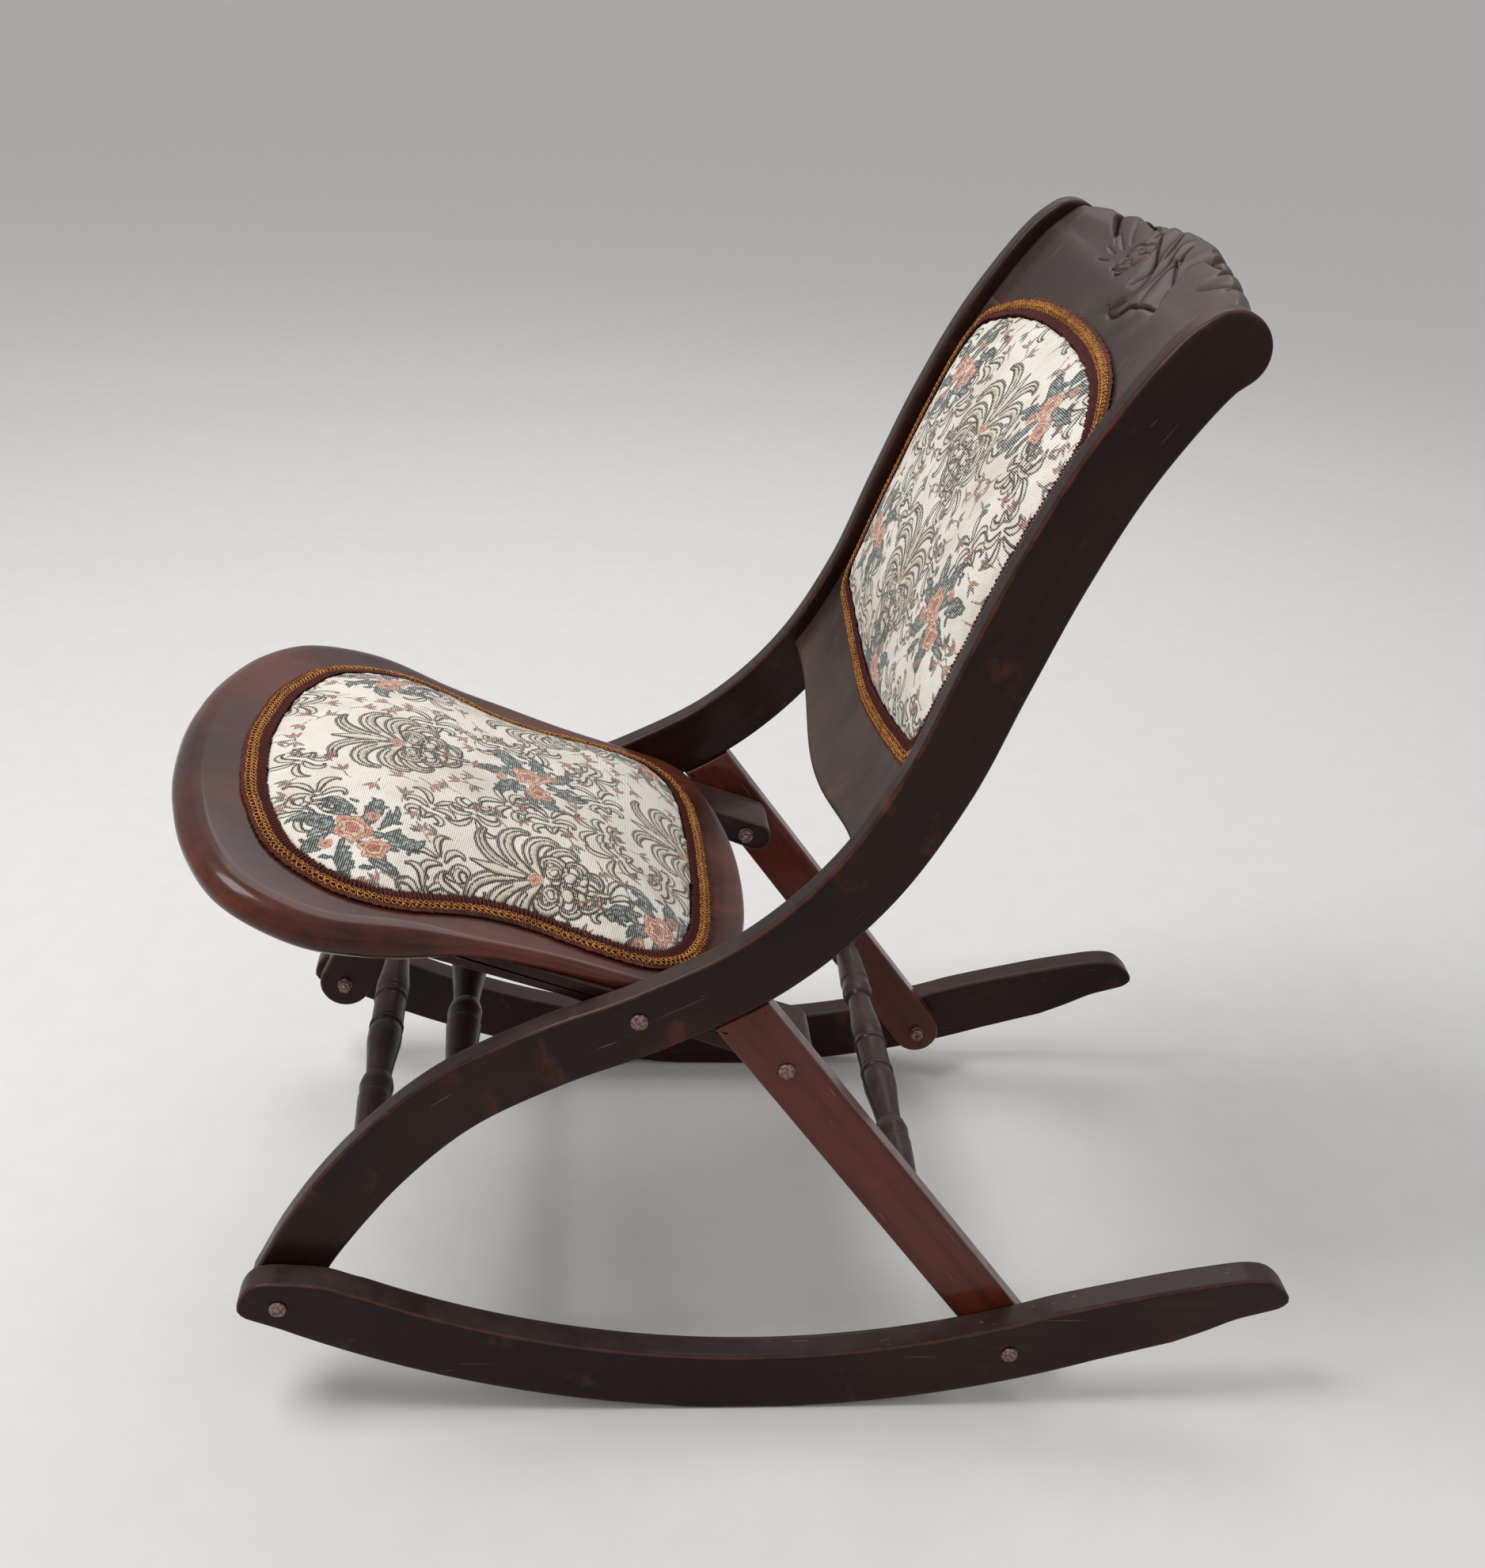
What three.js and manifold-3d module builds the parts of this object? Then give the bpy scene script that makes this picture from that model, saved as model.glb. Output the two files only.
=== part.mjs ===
// Folding rocking chair: bent S-shaped side rails, rockers, short rear legs and an upholstered seat and back.
// Millimetres, +Z up, the sitter faces -Y and the sitter's left is +X.
// The origin is on the floor, under the middle of the whole chair.

import * as THREE from "three";
import { mergeVertices } from "three/addons/utils/BufferGeometryUtils.js";
import Module from "manifold-3d";

// Boards across the chair, from the outside in
const outerWidth = 476;
const rockerThickness = 24;
const railThickness = 20;
const armWidth = 50;
const runningGap = 0.4;
const seatingGap = 0.3;
const boardEdge = 3.5;

// Rockers, seen from the side
const rollRadius = 791.2;
const rollFacet = 34;
const flatInFront = 52;
const flatBehind = 34;
const rollCentreY = 16.4;
const rockerDepth = 48.3;
const rockerTopRadius = 697.3;
const rockerTopShift = 5.4;
const noseReach = 29;
const noseRise = 21;
const tailStart = 266;
const tailReach = 129;
const tailRise = 57;
const tailDepth = 54;

// Pivots of the folding linkage
const frontPivotY = -325;
const frontPivotInset = 19.5;
const pivotSpan = 530;
const rearPivotInset = 27.2;
const railReach = 247;
const railRise = 225;
const backReach = 332;
const backRise = 468;
const seatTiltDegrees = 17.5;
const legPivotAlong = 110;
const legPivotDrop = 6.3;

// Side rails and rear legs
const railWidth = 48;
const railFootRadius = 22.5;
const legWidth = 41;
const legTopGap = 1;

// Turned stretchers
const stretcherRadius = 12.5;
const tenonRadius = 7;
const tenonLength = 12;
const lowerStretcherAlong = 110;
const upperStretcherAlong = 203;
const rearStretcherAlong = 168;

// Bolts, washers and nuts
const shankRadius = 3;
const boltHoleRadius = 3.4;
const headRadius = 6.2;
const headHeight = 3.2;
const washerRadius = 6.4;
const washerThickness = 1.2;
const nutRadius = 5.6;
const nutHeight = 4.8;
const boltTail = 2;

// Seat board, measured from the seat pivot along the tilted seat
const seatWidth = 468;
const seatFront = 350;
const seatRear = 87;
const seatUnderside = 6.5;
const seatThickness = 11.5;
const seatPanelThickness = 7;
const seatFrameMargin = 12;
const rimDrop = 15.5;
const rimInset = 18;
const rimRoll = 16;

// Seat arms under the board
const armFront = 258;
const armRear = 132;
const armFrontDepth = 15;
const armRearDepth = 24.5;

// Upholstery
const gimpWidth = 17;
const gimpHeight = 3.4;
const padEdgeHeight = 7;
const seatCrown = 24;
const backCrown = 13;
const padFrontBorder = 42.5;
const padSideBorder = 41;
const padRearBorder = 30;
const backPadSideBorder = 6;
const backPadTop = 43;
const backPadBottom = 362;

// Back boards between the rails, measured down the rail from its ear
const crestRise = 54;
const crestBottom = 75;
const panelBottom = 330;
const lowerRailSideBottom = 407;
const lowerRailSag = 22;
const backRecess = 11.5;
const backHollow = 10;
const crestThickness = 20;
const panelThickness = 12;
const crestEdge = 5;

// How finely curves are divided
const railSteps = 36;
const capSteps = 8;
const outlineSteps = 52;
const roundSides = 16;
const boltSides = 12;
const nutSides = 6;
const domeSteps = 3;
const knotSteps = 20;
const turnedSides = 12;
const backColumns = 12;

// How full the pads are towards their edges
const crownPower = 5;
const crownShares = [0.93, 0.84, 0.7, 0.5, 0.25];
const curvedBackShares = [0.15, 0.3, 0.45, 0.6, 0.75, 0.88];

// Outlines, as shares of the sizes that they follow
const railLowerShares = [[0, 0], [0.09, 0.185], [0.27, 0.46], [0.488, 0.693], [0.75, 0.86], [1.04, 1]];
const railUpperShares = [
  [0.252, 0.092], [0.434, 0.2235], [0.563, 0.383], [0.649, 0.544], [0.735, 0.7], [0.837, 0.849],
  [0.964, 0.979], [1, 1], [1.06, 1.032], [1.13, 1.06],
];
const noseShares = [
  [1.79, 0.52], [1.14, 0.86], [0.69, 0.95], [0.17, 1], [-0.31, 1], [-0.59, 0.9], [-0.76, 0.71],
  [-0.93, 0.33], [-1, -0.14], [-0.86, -0.45],
];
const tailTopShares = [
  [-0.06, 0.92], [0.28, 1.1], [0.52, 1.2], [0.76, 1.27], [0.87, 1.23], [0.94, 1.11], [1, 0.9],
];
const tailUnderShares = [[0.96, 0.79], [0.85, 0.7], [0.71, 0.6], [0.53, 0.4], [0.35, 0.22]];
const seatFrontShares = [
  [0, 1], [0.342, 0.982], [0.47, 0.963], [0.641, 0.931], [0.761, 0.893], [0.855, 0.856], [0.915, 0.813],
  [0.957, 0.761], [0.987, 0.697], [1, 0.64],
];
const seatFlankShares = [[0.83, 0.565], [0.56, 0.48], [0.3, 0.39], [0.13, 0.3], [0.05, 0.23], [0, 0.178]];
const seatBackShares = [[1, 0.1], [1, 0.36], [0.93, 0.56], [0.77, 0.74], [0.57, 0.86], [0.33, 0.96], [0, 1]];
const rimFadeShares = [0.3, 0.5];
const rimShares = [[0.6, 0], [0.16, 0.2], [0, 0.45], [0.12, 0.72], [0.45, 0.92], [1, 1]];
const plainRimShare = 0.3;
const padFrontShares = [
  [0, 1], [0.23, 0.989], [0.445, 0.97], [0.57, 0.946], [0.71, 0.914], [0.824, 0.875], [0.896, 0.829],
  [0.959, 0.767], [0.995, 0.702], [1, 0.621], [0.974, 0.543], [0.922, 0.465],
];
const padWaistShares = [[0.876, 0.384], [0.866, 0.27], [0.887, 0.2], [0.902, 0.12], [0.908, 0.03]];
const padBackShares = [[0.885, 0.2], [0.79, 0.6], [0.6, 0.87], [0.31, 0.98], [0, 1]];
const backPadShares = [
  [0, 0], [0.22, 0.004], [0.45, 0.018], [0.66, 0.045], [0.82, 0.082], [0.94, 0.122], [1, 0.19], [1, 0.49],
  [1, 0.81], [0.98, 0.876], [0.914, 0.922], [0.69, 0.953], [0.34, 0.985], [0, 1],
];
const crestShares = [
  [0, 1], [0.12, 0.985], [0.23, 0.93], [0.3, 0.84], [0.36, 0.86], [0.44, 0.8], [0.5, 0.72], [0.58, 0.73],
  [0.66, 0.66], [0.72, 0.58], [0.8, 0.57], [0.9, 0.47], [1, 0.35],
];
const crestRowShares = [0, 0.04, 0.2, 0.4, 0.6, 0.8, 1];
const lowerRailRowShares = [0, 0.25, 0.5, 0.75, 0.95, 1];
const gimpShares = [[0, 0], [0.05, 0.6], [0.25, 0.95], [0.6, 1], [0.92, 0.75], [1, 0.4], [1, 0]];
const sleeveCornerShare = 0.8;
const turningShares = [
  [0, 1], [0.08, 1.01], [0.095, 1.1], [0.115, 1.1], [0.13, 0.98], [0.16, 1.07], [0.22, 1.06], [0.34, 0.88],
  [0.46, 0.75], [0.475, 0.9], [0.53, 1.04], [0.585, 0.95], [0.61, 1.02], [0.8, 0.88], [1, 0.69],
];

// Places that follow from the sizes
const rockerOuterX = outerWidth / 2;
const rockerInnerX = rockerOuterX - rockerThickness;
const railOuterX = rockerInnerX - runningGap;
const railInnerX = railOuterX - railThickness;
const armOuterX = railInnerX - runningGap;
const armInnerX = armOuterX - armWidth;
const waistHalfWidth = railInnerX - 2 * runningGap;
const backHalfWidth = railInnerX - seatingGap;

function undersideHeight(y) {
  return rollRadius - Math.sqrt(rollRadius ** 2 - (y - rollCentreY) ** 2);
}

const frontPivot = new THREE.Vector2(frontPivotY, undersideHeight(frontPivotY) + frontPivotInset);
const rearPivotY = frontPivotY + pivotSpan;
const rearPivot = new THREE.Vector2(rearPivotY, undersideHeight(rearPivotY) + rearPivotInset);
const seatPivot = new THREE.Vector2(frontPivot.x + railReach, frontPivot.y + railRise);
const seatTilt = THREE.MathUtils.degToRad(seatTiltDegrees);
const seatPivotOnSeat = new THREE.Vector2();
const legPivotOnSeat = new THREE.Vector2(legPivotAlong, -legPivotDrop);
const legPivot = legPivotOnSeat.clone().rotateAround(seatPivotOnSeat, -seatTilt).add(seatPivot);

// Closed bodies, and cutting them

const wasm = await Module();
wasm.setup();

// Welds a geometry's corners, drops collapsed triangles and turns its faces outwards
function closedBody(geometry) {
  const bare = geometry.clone();
  bare.deleteAttribute("normal");
  bare.deleteAttribute("uv");
  const welded = mergeVertices(bare);
  const place = welded.attributes.position;
  const kept = [];
  let volume = 0;
  const corners = [new THREE.Vector3(), new THREE.Vector3(), new THREE.Vector3()];
  for (let i = 0; i < welded.index.count; i += 3) {
    const face = [0, 1, 2].map((k) => welded.index.getX(i + k));
    if (new Set(face).size === 3) {
      corners.forEach((corner, k) => corner.fromBufferAttribute(place, face[k]));
      volume += corners[0].dot(corners[1].clone().cross(corners[2]));
      kept.push(face);
    }
  }
  welded.setIndex(kept.flatMap(([a, b, c]) => (volume > 0 ? [a, b, c] : [a, c, b])));
  welded.computeVertexNormals();
  return welded;
}

function toSolid(geometry) {
  const body = closedBody(geometry);
  return new wasm.Manifold(new wasm.Mesh({
    numProp: 3,
    vertProperties: body.attributes.position.array,
    triVerts: Uint32Array.from(body.index.array),
  }));
}

function cut(geometry, tools) {
  let solid = toSolid(geometry);
  for (const tool of tools) {
    solid = solid.subtract(toSolid(tool));
  }
  const mesh = solid.getMesh();
  const result = new THREE.BufferGeometry();
  result.setAttribute("position", new THREE.BufferAttribute(mesh.vertProperties, 3));
  result.setIndex(new THREE.BufferAttribute(mesh.triVerts, 1));
  result.computeVertexNormals();
  return result;
}

// A body given by its corner points and its triangles
function bodyFrom(points, triangles) {
  const geometry = new THREE.BufferGeometry();
  geometry.setAttribute("position", new THREE.Float32BufferAttribute(points.flat(), 3));
  geometry.setIndex(triangles.flat());
  return closedBody(geometry);
}

// The two triangles between four corners of a grid
function quad(a, b, c, d) {
  return [[a, b, c], [a, c, d]];
}

// Curves and outlines in the side view

function curveThrough(points, closed) {
  const knots = points.map(([a, b]) => new THREE.Vector3(a, b, 0));
  return new THREE.CatmullRomCurve3(knots, closed, "centripetal");
}

function spaced(curve, steps) {
  return curve.getSpacedPoints(steps).map((point) => new THREE.Vector2(point.x, point.y));
}

function arc(centre, radius, from, to, steps) {
  return Array.from({ length: steps + 1 }, (_, k) => {
    const angle = from + ((to - from) * k) / steps;
    return new THREE.Vector2(centre.x + radius * Math.cos(angle), centre.y + radius * Math.sin(angle));
  });
}

// The rail's centre line, from the front pivot through the seat pivot to the ear, and on over the crest
const railKnots = [
  ...railLowerShares.map(([a, b]) => [frontPivot.x + a * railReach, frontPivot.y + b * railRise]),
  ...railUpperShares.map(([a, b]) => [seatPivot.x + a * backReach, seatPivot.y + b * backRise]),
];
const railCurve = curveThrough(railKnots, false);
const railDivisions = (railKnots.length - 1) * knotSteps;
const railLengths = railCurve.getLengths(railDivisions);
const beyondEar = railUpperShares.filter(([along]) => along > 1).length;
const railLength = railLengths[railDivisions - beyondEar * knotSteps];
const wholeLength = railLengths[railDivisions];

// A point of the centre line and the direction towards the sitter there, at a distance from the front pivot
function alongRail(distance) {
  const share = THREE.MathUtils.clamp(distance / wholeLength, 0, 1);
  const point = railCurve.getPointAt(share);
  const tangent = railCurve.getTangentAt(share);
  return { point: new THREE.Vector2(point.x, point.y), front: new THREE.Vector2(-tangent.y, tangent.x) };
}

function besideRail(distance, offset) {
  const { point, front } = alongRail(distance);
  return point.addScaledVector(front, offset);
}

// The rail narrows a little to its round foot
function railHalfWidth(distance) {
  const grow = THREE.MathUtils.smoothstep(distance, 0, 2 * railWidth);
  return THREE.MathUtils.lerp(railFootRadius, railWidth / 2, grow);
}

function railOutline() {
  const places = Array.from({ length: railSteps + 1 }, (_, k) => (railLength * k) / railSteps);
  const rear = places.map((distance) => besideRail(distance, -railHalfWidth(distance)));
  const front = places.map((distance) => besideRail(distance, railHalfWidth(distance)));
  const ear = alongRail(railLength);
  const foot = alongRail(0);
  const earAngle = ear.front.angle();
  const footAngle = foot.front.angle();
  const earCap = arc(ear.point, railWidth / 2, earAngle - Math.PI, earAngle, capSteps);
  const footCap = arc(foot.point, railFootRadius, footAngle, footAngle + Math.PI, capSteps);
  return [...rear, ...earCap.slice(1, -1), ...front.reverse(), ...footCap.slice(1, -1)];
}

// Where a straight line first crosses a row of points
function crossing(row, start, direction) {
  const side = row.map((point) => point.clone().sub(start).cross(direction));
  const k = side.findIndex((value, i) => i > 0 && value * side[i - 1] <= 0);
  return row[k - 1].clone().lerp(row[k], side[k - 1] / (side[k - 1] - side[k]));
}

// The rear leg: round at the foot, its top cut to follow the underside of the rail
function legOutline() {
  const up = legPivot.clone().sub(rearPivot).normalize();
  const across = new THREE.Vector2(-up.y, up.x);
  const start = seatPivot.distanceTo(frontPivot);
  const underside = Array.from({ length: railSteps + 1 }, (_, k) => {
    const distance = start + (railLength - start) * (k / railSteps);
    return besideRail(distance, -railWidth / 2 - legTopGap);
  });
  const top = [-1, 0, 1].map((share) => {
    const foot = rearPivot.clone().addScaledVector(across, (share * legWidth) / 2);
    return crossing(underside, foot, up);
  });
  const angle = across.angle();
  return [...arc(rearPivot, legWidth / 2, angle, angle + Math.PI, capSteps), ...top];
}

// The rocker: a rolling underside in facets with a flat to rest on, an upturned nose and a swept tail
function rockerOutline() {
  const underside = [];
  const facets = Math.round((tailStart - frontPivotY + rollCentreY) / rollFacet);
  for (let k = 0; k <= facets; k += 1) {
    const y = THREE.MathUtils.lerp(frontPivotY, rollCentreY + tailStart - rollFacet, k / facets);
    if (y < rollCentreY - flatInFront - rollFacet / 2 || y > rollCentreY + flatBehind + rollFacet / 2) {
      underside.push([y, undersideHeight(y)]);
    }
  }
  underside.push([rollCentreY - flatInFront, 0], [rollCentreY + flatBehind, 0]);
  underside.sort(([a], [b]) => a - b);
  const tailY = rollCentreY + tailStart;
  const tailZ = undersideHeight(tailY);
  const under = tailUnderShares.map(([a, b]) => [tailY + a * tailReach, tailZ + b * tailRise]);
  const top = tailTopShares.map(([a, b]) => {
    const rise = b * tailDepth + a * (tailRise - tailDepth);
    return [tailY + a * tailReach, tailZ + rise];
  });
  const topCentreY = rollCentreY - rockerTopShift;
  const noseEndY = frontPivot.x + noseShares[0][0] * noseReach;
  const tailEndY = top[0][0];
  const upper = [];
  for (let k = 1; k < railSteps / 2; k += 1) {
    const y = tailEndY + ((noseEndY - tailEndY) * k) / (railSteps / 2);
    const rise = rockerTopRadius - Math.sqrt(rockerTopRadius ** 2 - (y - topCentreY) ** 2);
    upper.push([y, rockerDepth + rise]);
  }
  const nose = noseShares.map(([a, b]) => [frontPivot.x + a * noseReach, frontPivot.y + b * noseRise]);
  const tailPoints = spaced(curveThrough([...under.reverse(), ...top.reverse()], false), 2 * capSteps);
  const nosePoints = spaced(curveThrough(nose, false), 2 * capSteps);
  const asPoints = (list) => list.map(([y, z]) => new THREE.Vector2(y, z));
  return [...asPoints(underside), ...tailPoints, ...asPoints(upper), ...nosePoints];
}

// A board sawn to a side outline, its long edges rounded over, between two distances from the middle
const sideways = new THREE.Matrix4().makeBasis(
  new THREE.Vector3(0, 1, 0),
  new THREE.Vector3(0, 0, 1),
  new THREE.Vector3(1, 0, 0),
);

function sawnBoard(outline, innerX, outerX) {
  const geometry = new THREE.ExtrudeGeometry(new THREE.Shape(outline), {
    depth: outerX - innerX - 2 * boardEdge,
    bevelThickness: boardEdge,
    bevelSize: boardEdge,
    bevelOffset: -boardEdge,
    bevelSegments: 2,
  });
  geometry.translate(0, 0, innerX + boardEdge);
  return geometry.applyMatrix4(sideways);
}

// A round hole across the chair, between two distances from the middle
function crossHole(place, radius, innerX, outerX) {
  const hole = new THREE.CylinderGeometry(radius, radius, outerX - innerX, roundSides);
  hole.rotateZ(-Math.PI / 2);
  return hole.translate((innerX + outerX) / 2, place.x, place.y);
}

function mirrored(geometry) {
  return closedBody(geometry.clone().scale(-1, 1, 1));
}

// Outlines in the plane of a cushion, with the way inwards at each point

function closedOutline(halfPoints) {
  const other = halfPoints.slice(1, -1).reverse().map(([a, b]) => [-a, b]);
  return spaced(curveThrough([...halfPoints, ...other], true), outlineSteps).slice(0, outlineSteps);
}

function withInward(points) {
  const turn = Math.sign(THREE.ShapeUtils.area(points));
  return points.map((point, k) => {
    const before = points.at(k - 1);
    const after = points[(k + 1) % points.length];
    const along = after.clone().sub(before).normalize();
    return { point, inward: new THREE.Vector2(-along.y, along.x).multiplyScalar(turn) };
  });
}

function middleOf(outline) {
  const heights = outline.map(({ point }) => point.y);
  return new THREE.Vector2(0, (Math.min(...heights) + Math.max(...heights)) / 2);
}

// One ring inside an outline: set in by a distance, then drawn towards the middle by a share
function ringOf(outline, { inset, share = 1, height }, middle, place) {
  return outline.map(({ point, inward }) => {
    const depth = typeof inset === "function" ? inset(point) : inset;
    const lift = typeof height === "function" ? height(point) : height;
    const moved = point.clone().addScaledVector(inward, depth);
    moved.sub(middle).multiplyScalar(share).add(middle);
    return place(moved.x, moved.y, lift);
  });
}

// A closed solid from rings, the first and last closed to a middle point
function ringSolid(outline, rings, place) {
  const middle = middleOf(outline);
  const count = outline.length;
  const points = rings.flatMap((ring) => ringOf(outline, ring, middle, place));
  const heightAt = ({ height }) => (typeof height === "function" ? height(middle) : height);
  const first = points.push(place(middle.x, middle.y, heightAt(rings[0]))) - 1;
  const lastHeight = rings.at(-1).middleHeight ?? heightAt(rings.at(-1));
  const last = points.push(place(middle.x, middle.y, lastHeight)) - 1;
  const triangles = [];
  for (let k = 0; k < count; k += 1) {
    const next = (k + 1) % count;
    triangles.push([first, next, k]);
    for (let r = 0; r + 1 < rings.length; r += 1) {
      const up = (r + 1) * count;
      triangles.push(...quad(r * count + k, r * count + next, up + next, up + k));
    }
    const top = (rings.length - 1) * count;
    triangles.push([top + k, top + next, last]);
  }
  return bodyFrom(points, triangles);
}

// A closed band from rings, the last joined back to the first
function ringBand(outline, rings, place) {
  const count = outline.length;
  const middle = middleOf(outline);
  const points = rings.flatMap((ring) => ringOf(outline, ring, middle, place));
  const triangles = [];
  for (let r = 0; r < rings.length; r += 1) {
    const up = ((r + 1) % rings.length) * count;
    for (let k = 0; k < count; k += 1) {
      const next = (k + 1) % count;
      triangles.push(...quad(r * count + k, r * count + next, up + next, up + k));
    }
  }
  return bodyFrom(points, triangles);
}

// A stuffed pad inside its gimp: a back that follows its board, an upright edge, then a soft crown
function padSolid(outline, crown, place, backShares) {
  const inset = gimpWidth + seatingGap;
  const crownHeight = (share) => padEdgeHeight + crown * (1 - share ** crownPower);
  const rings = [
    ...backShares.map((share) => ({ inset, share, height: seatingGap })),
    { inset, height: seatingGap },
    { inset, height: padEdgeHeight },
    ...crownShares.map((share) => ({ inset, share, height: crownHeight(share) })),
  ];
  rings.at(-1).middleHeight = padEdgeHeight + crown;
  return ringSolid(outline, rings, place);
}

// The braided gimp: a low domed band along the pad's edge
function gimpSolid(outline, place) {
  const rings = gimpShares.map(([across, up]) => ({
    inset: across * gimpWidth,
    height: seatingGap + up * gimpHeight,
  }));
  return ringBand(outline, rings, place);
}

// Seat, in its own tilted frame: x across, y back from the seat pivot, z square to the board

const seatTop = seatUnderside + seatThickness;
const seatHalfWidth = seatWidth / 2;
const padHalfWidth = seatHalfWidth - padSideBorder;
const padFront = seatFront - padFrontBorder;
const padRear = seatRear - padRearBorder;

const onSeat = (x, along, lift) => [x, along, lift];
const onSeatTop = (x, along, lift) => [x, along, seatTop + lift];

function seatOutline() {
  const half = [
    ...seatFrontShares.map(([a, b]) => [a * seatHalfWidth, -b * seatFront]),
    ...seatFlankShares.map(([a, b]) => [
      THREE.MathUtils.lerp(waistHalfWidth, seatHalfWidth, a),
      -b * seatFront,
    ]),
    ...seatBackShares.map(([a, b]) => [a * waistHalfWidth, b * seatRear]),
  ];
  const narrowFrom = -seatFlankShares.at(-1)[1] * seatFront;
  const points = closedOutline(half).map((point) => {
    const limit = point.y > narrowFrom ? waistHalfWidth : seatHalfWidth;
    return new THREE.Vector2(THREE.MathUtils.clamp(point.x, -limit, limit), point.y);
  });
  return withInward(points);
}

// How far in the rolled rim reaches below the board, short of the arms beside it
const rimSlope = rimRoll / 5;

function rimWidth(point) {
  const besideArm = point.y > -armFront - 2 * rimInset;
  const room = besideArm ? Math.abs(point.x) - armOuterX - runningGap - rimSlope : rimInset;
  return THREE.MathUtils.clamp(room, rimSlope, rimInset);
}

// The rolled rim is full round the front and fades out before the rails
function seatBoard() {
  const [goneShare, fullShare] = rimFadeShares;
  const fullBy = fullShare * seatFront;
  const goneBy = goneShare * seatFront;
  const rolled = (point) => THREE.MathUtils.smoothstep(-point.y, goneBy, fullBy);
  const bottom = (point) => seatUnderside - rimDrop * rolled(point);
  const rounding = (point) => rimRoll * THREE.MathUtils.lerp(plainRimShare, 1, rolled(point));
  const rings = rimShares.map(([across, up]) => ({
    inset: (point) => across * rounding(point),
    height: (point) => THREE.MathUtils.lerp(bottom(point), seatTop, up),
  }));
  const board = ringSolid(seatOutline(), [
    { inset: (point) => rimWidth(point) + rimSlope, height: seatUnderside },
    { inset: rimWidth, height: bottom },
    ...rings,
  ], onSeat);
  return cut(board, [seatRecess()]);
}

// The hollow under the board, between the arms, that leaves a thin panel under the pad
function seatRecess() {
  const width = 2 * (armInnerX - seatFrameMargin);
  const length = seatFront + seatRear - 2 * padFrontBorder - seatFrameMargin;
  const depth = seatThickness - seatPanelThickness + rimDrop;
  const middle = (seatRear - seatFront - seatFrameMargin) / 2;
  const hollow = new THREE.BoxGeometry(width, length, depth);
  return hollow.translate(0, middle, seatTop - seatPanelThickness - depth / 2);
}

function seatPadOutline() {
  const half = [
    ...padFrontShares.map(([a, b]) => [a * padHalfWidth, -b * padFront]),
    ...padWaistShares.map(([a, b]) => [a * waistHalfWidth, -b * padFront]),
    ...padBackShares.map(([a, b]) => [a * waistHalfWidth, b * padRear]),
  ];
  return withInward(closedOutline(half));
}

// A seat arm: deeper towards the rear, with a round end past the leg's bolt
function seatArm() {
  const top = seatUnderside - seatingGap;
  const rearRadius = armRearDepth / 2;
  const rearCentre = new THREE.Vector2(armRear - rearRadius, top - rearRadius);
  const outline = [
    new THREE.Vector2(-armFront, top),
    new THREE.Vector2(-armFront, top - armFrontDepth / 2),
    new THREE.Vector2(-armFront + armFrontDepth, top - armFrontDepth),
    new THREE.Vector2(-legPivotAlong / 2, top - armFrontDepth),
    ...arc(rearCentre, rearRadius, -Math.PI / 2, Math.PI / 2, capSteps),
  ];
  const holes = [seatPivotOnSeat, legPivotOnSeat].map((place) => (
    crossHole(place, boltHoleRadius, armInnerX - runningGap, armOuterX + runningGap)
  ));
  return cut(sawnBoard(outline, armInnerX, armOuterX), holes);
}

// Back boards, bent along the rails and hollowed across

function backSurface(x) {
  return railWidth / 2 - backRecess - backHollow * (1 - (x / backHalfWidth) ** 2);
}

function onBack(x, down, lift) {
  const place = besideRail(railLength - down, backSurface(x) + lift);
  return [x, place.x, place.y];
}

function crestTop(x) {
  const share = Math.abs(x) / backHalfWidth;
  const k = Math.max(1, crestShares.findIndex(([across]) => across >= share - Number.EPSILON));
  const [fromX, fromRise] = crestShares[k - 1];
  const [toX, toRise] = crestShares[k];
  return -crestRise * THREE.MathUtils.lerp(fromRise, toRise, (share - fromX) / (toX - fromX));
}

// A board between the rails with given edges, its front at the back surface; the edge at easedShare is eased
function backBoard(columnShares, rowShares, top, bottom, thickness, easedShare) {
  const across = columnShares.map((share) => share * backHalfWidth);
  const face = (lift, sign) => across.flatMap((x) => rowShares.map((share) => {
    const down = THREE.MathUtils.lerp(top(x), bottom(x), share);
    const eased = share === easedShare ? crestEdge / 2 : 0;
    return onBack(x, down, lift - sign * eased);
  }));
  const points = [...face(0, 1), ...face(-thickness, -1)];
  const columnCount = across.length;
  const rowCount = rowShares.length;
  const half = columnCount * rowCount;
  const at = (i, j, side) => side * half + i * rowCount + j;
  const triangles = [];
  for (let i = 0; i + 1 < columnCount; i += 1) {
    for (let j = 0; j + 1 < rowCount; j += 1) {
      triangles.push(...quad(at(i, j, 0), at(i + 1, j, 0), at(i + 1, j + 1, 0), at(i, j + 1, 0)));
      triangles.push(...quad(at(i, j, 1), at(i, j + 1, 1), at(i + 1, j + 1, 1), at(i + 1, j, 1)));
    }
    const end = rowCount - 1;
    triangles.push(...quad(at(i, 0, 1), at(i + 1, 0, 1), at(i + 1, 0, 0), at(i, 0, 0)));
    triangles.push(...quad(at(i, end, 0), at(i + 1, end, 0), at(i + 1, end, 1), at(i, end, 1)));
  }
  for (let j = 0; j + 1 < rowCount; j += 1) {
    const end = columnCount - 1;
    triangles.push(...quad(at(0, j, 0), at(0, j + 1, 0), at(0, j + 1, 1), at(0, j, 1)));
    triangles.push(...quad(at(end, j, 1), at(end, j + 1, 1), at(end, j + 1, 0), at(end, j, 0)));
  }
  return bodyFrom(points, triangles);
}

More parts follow.
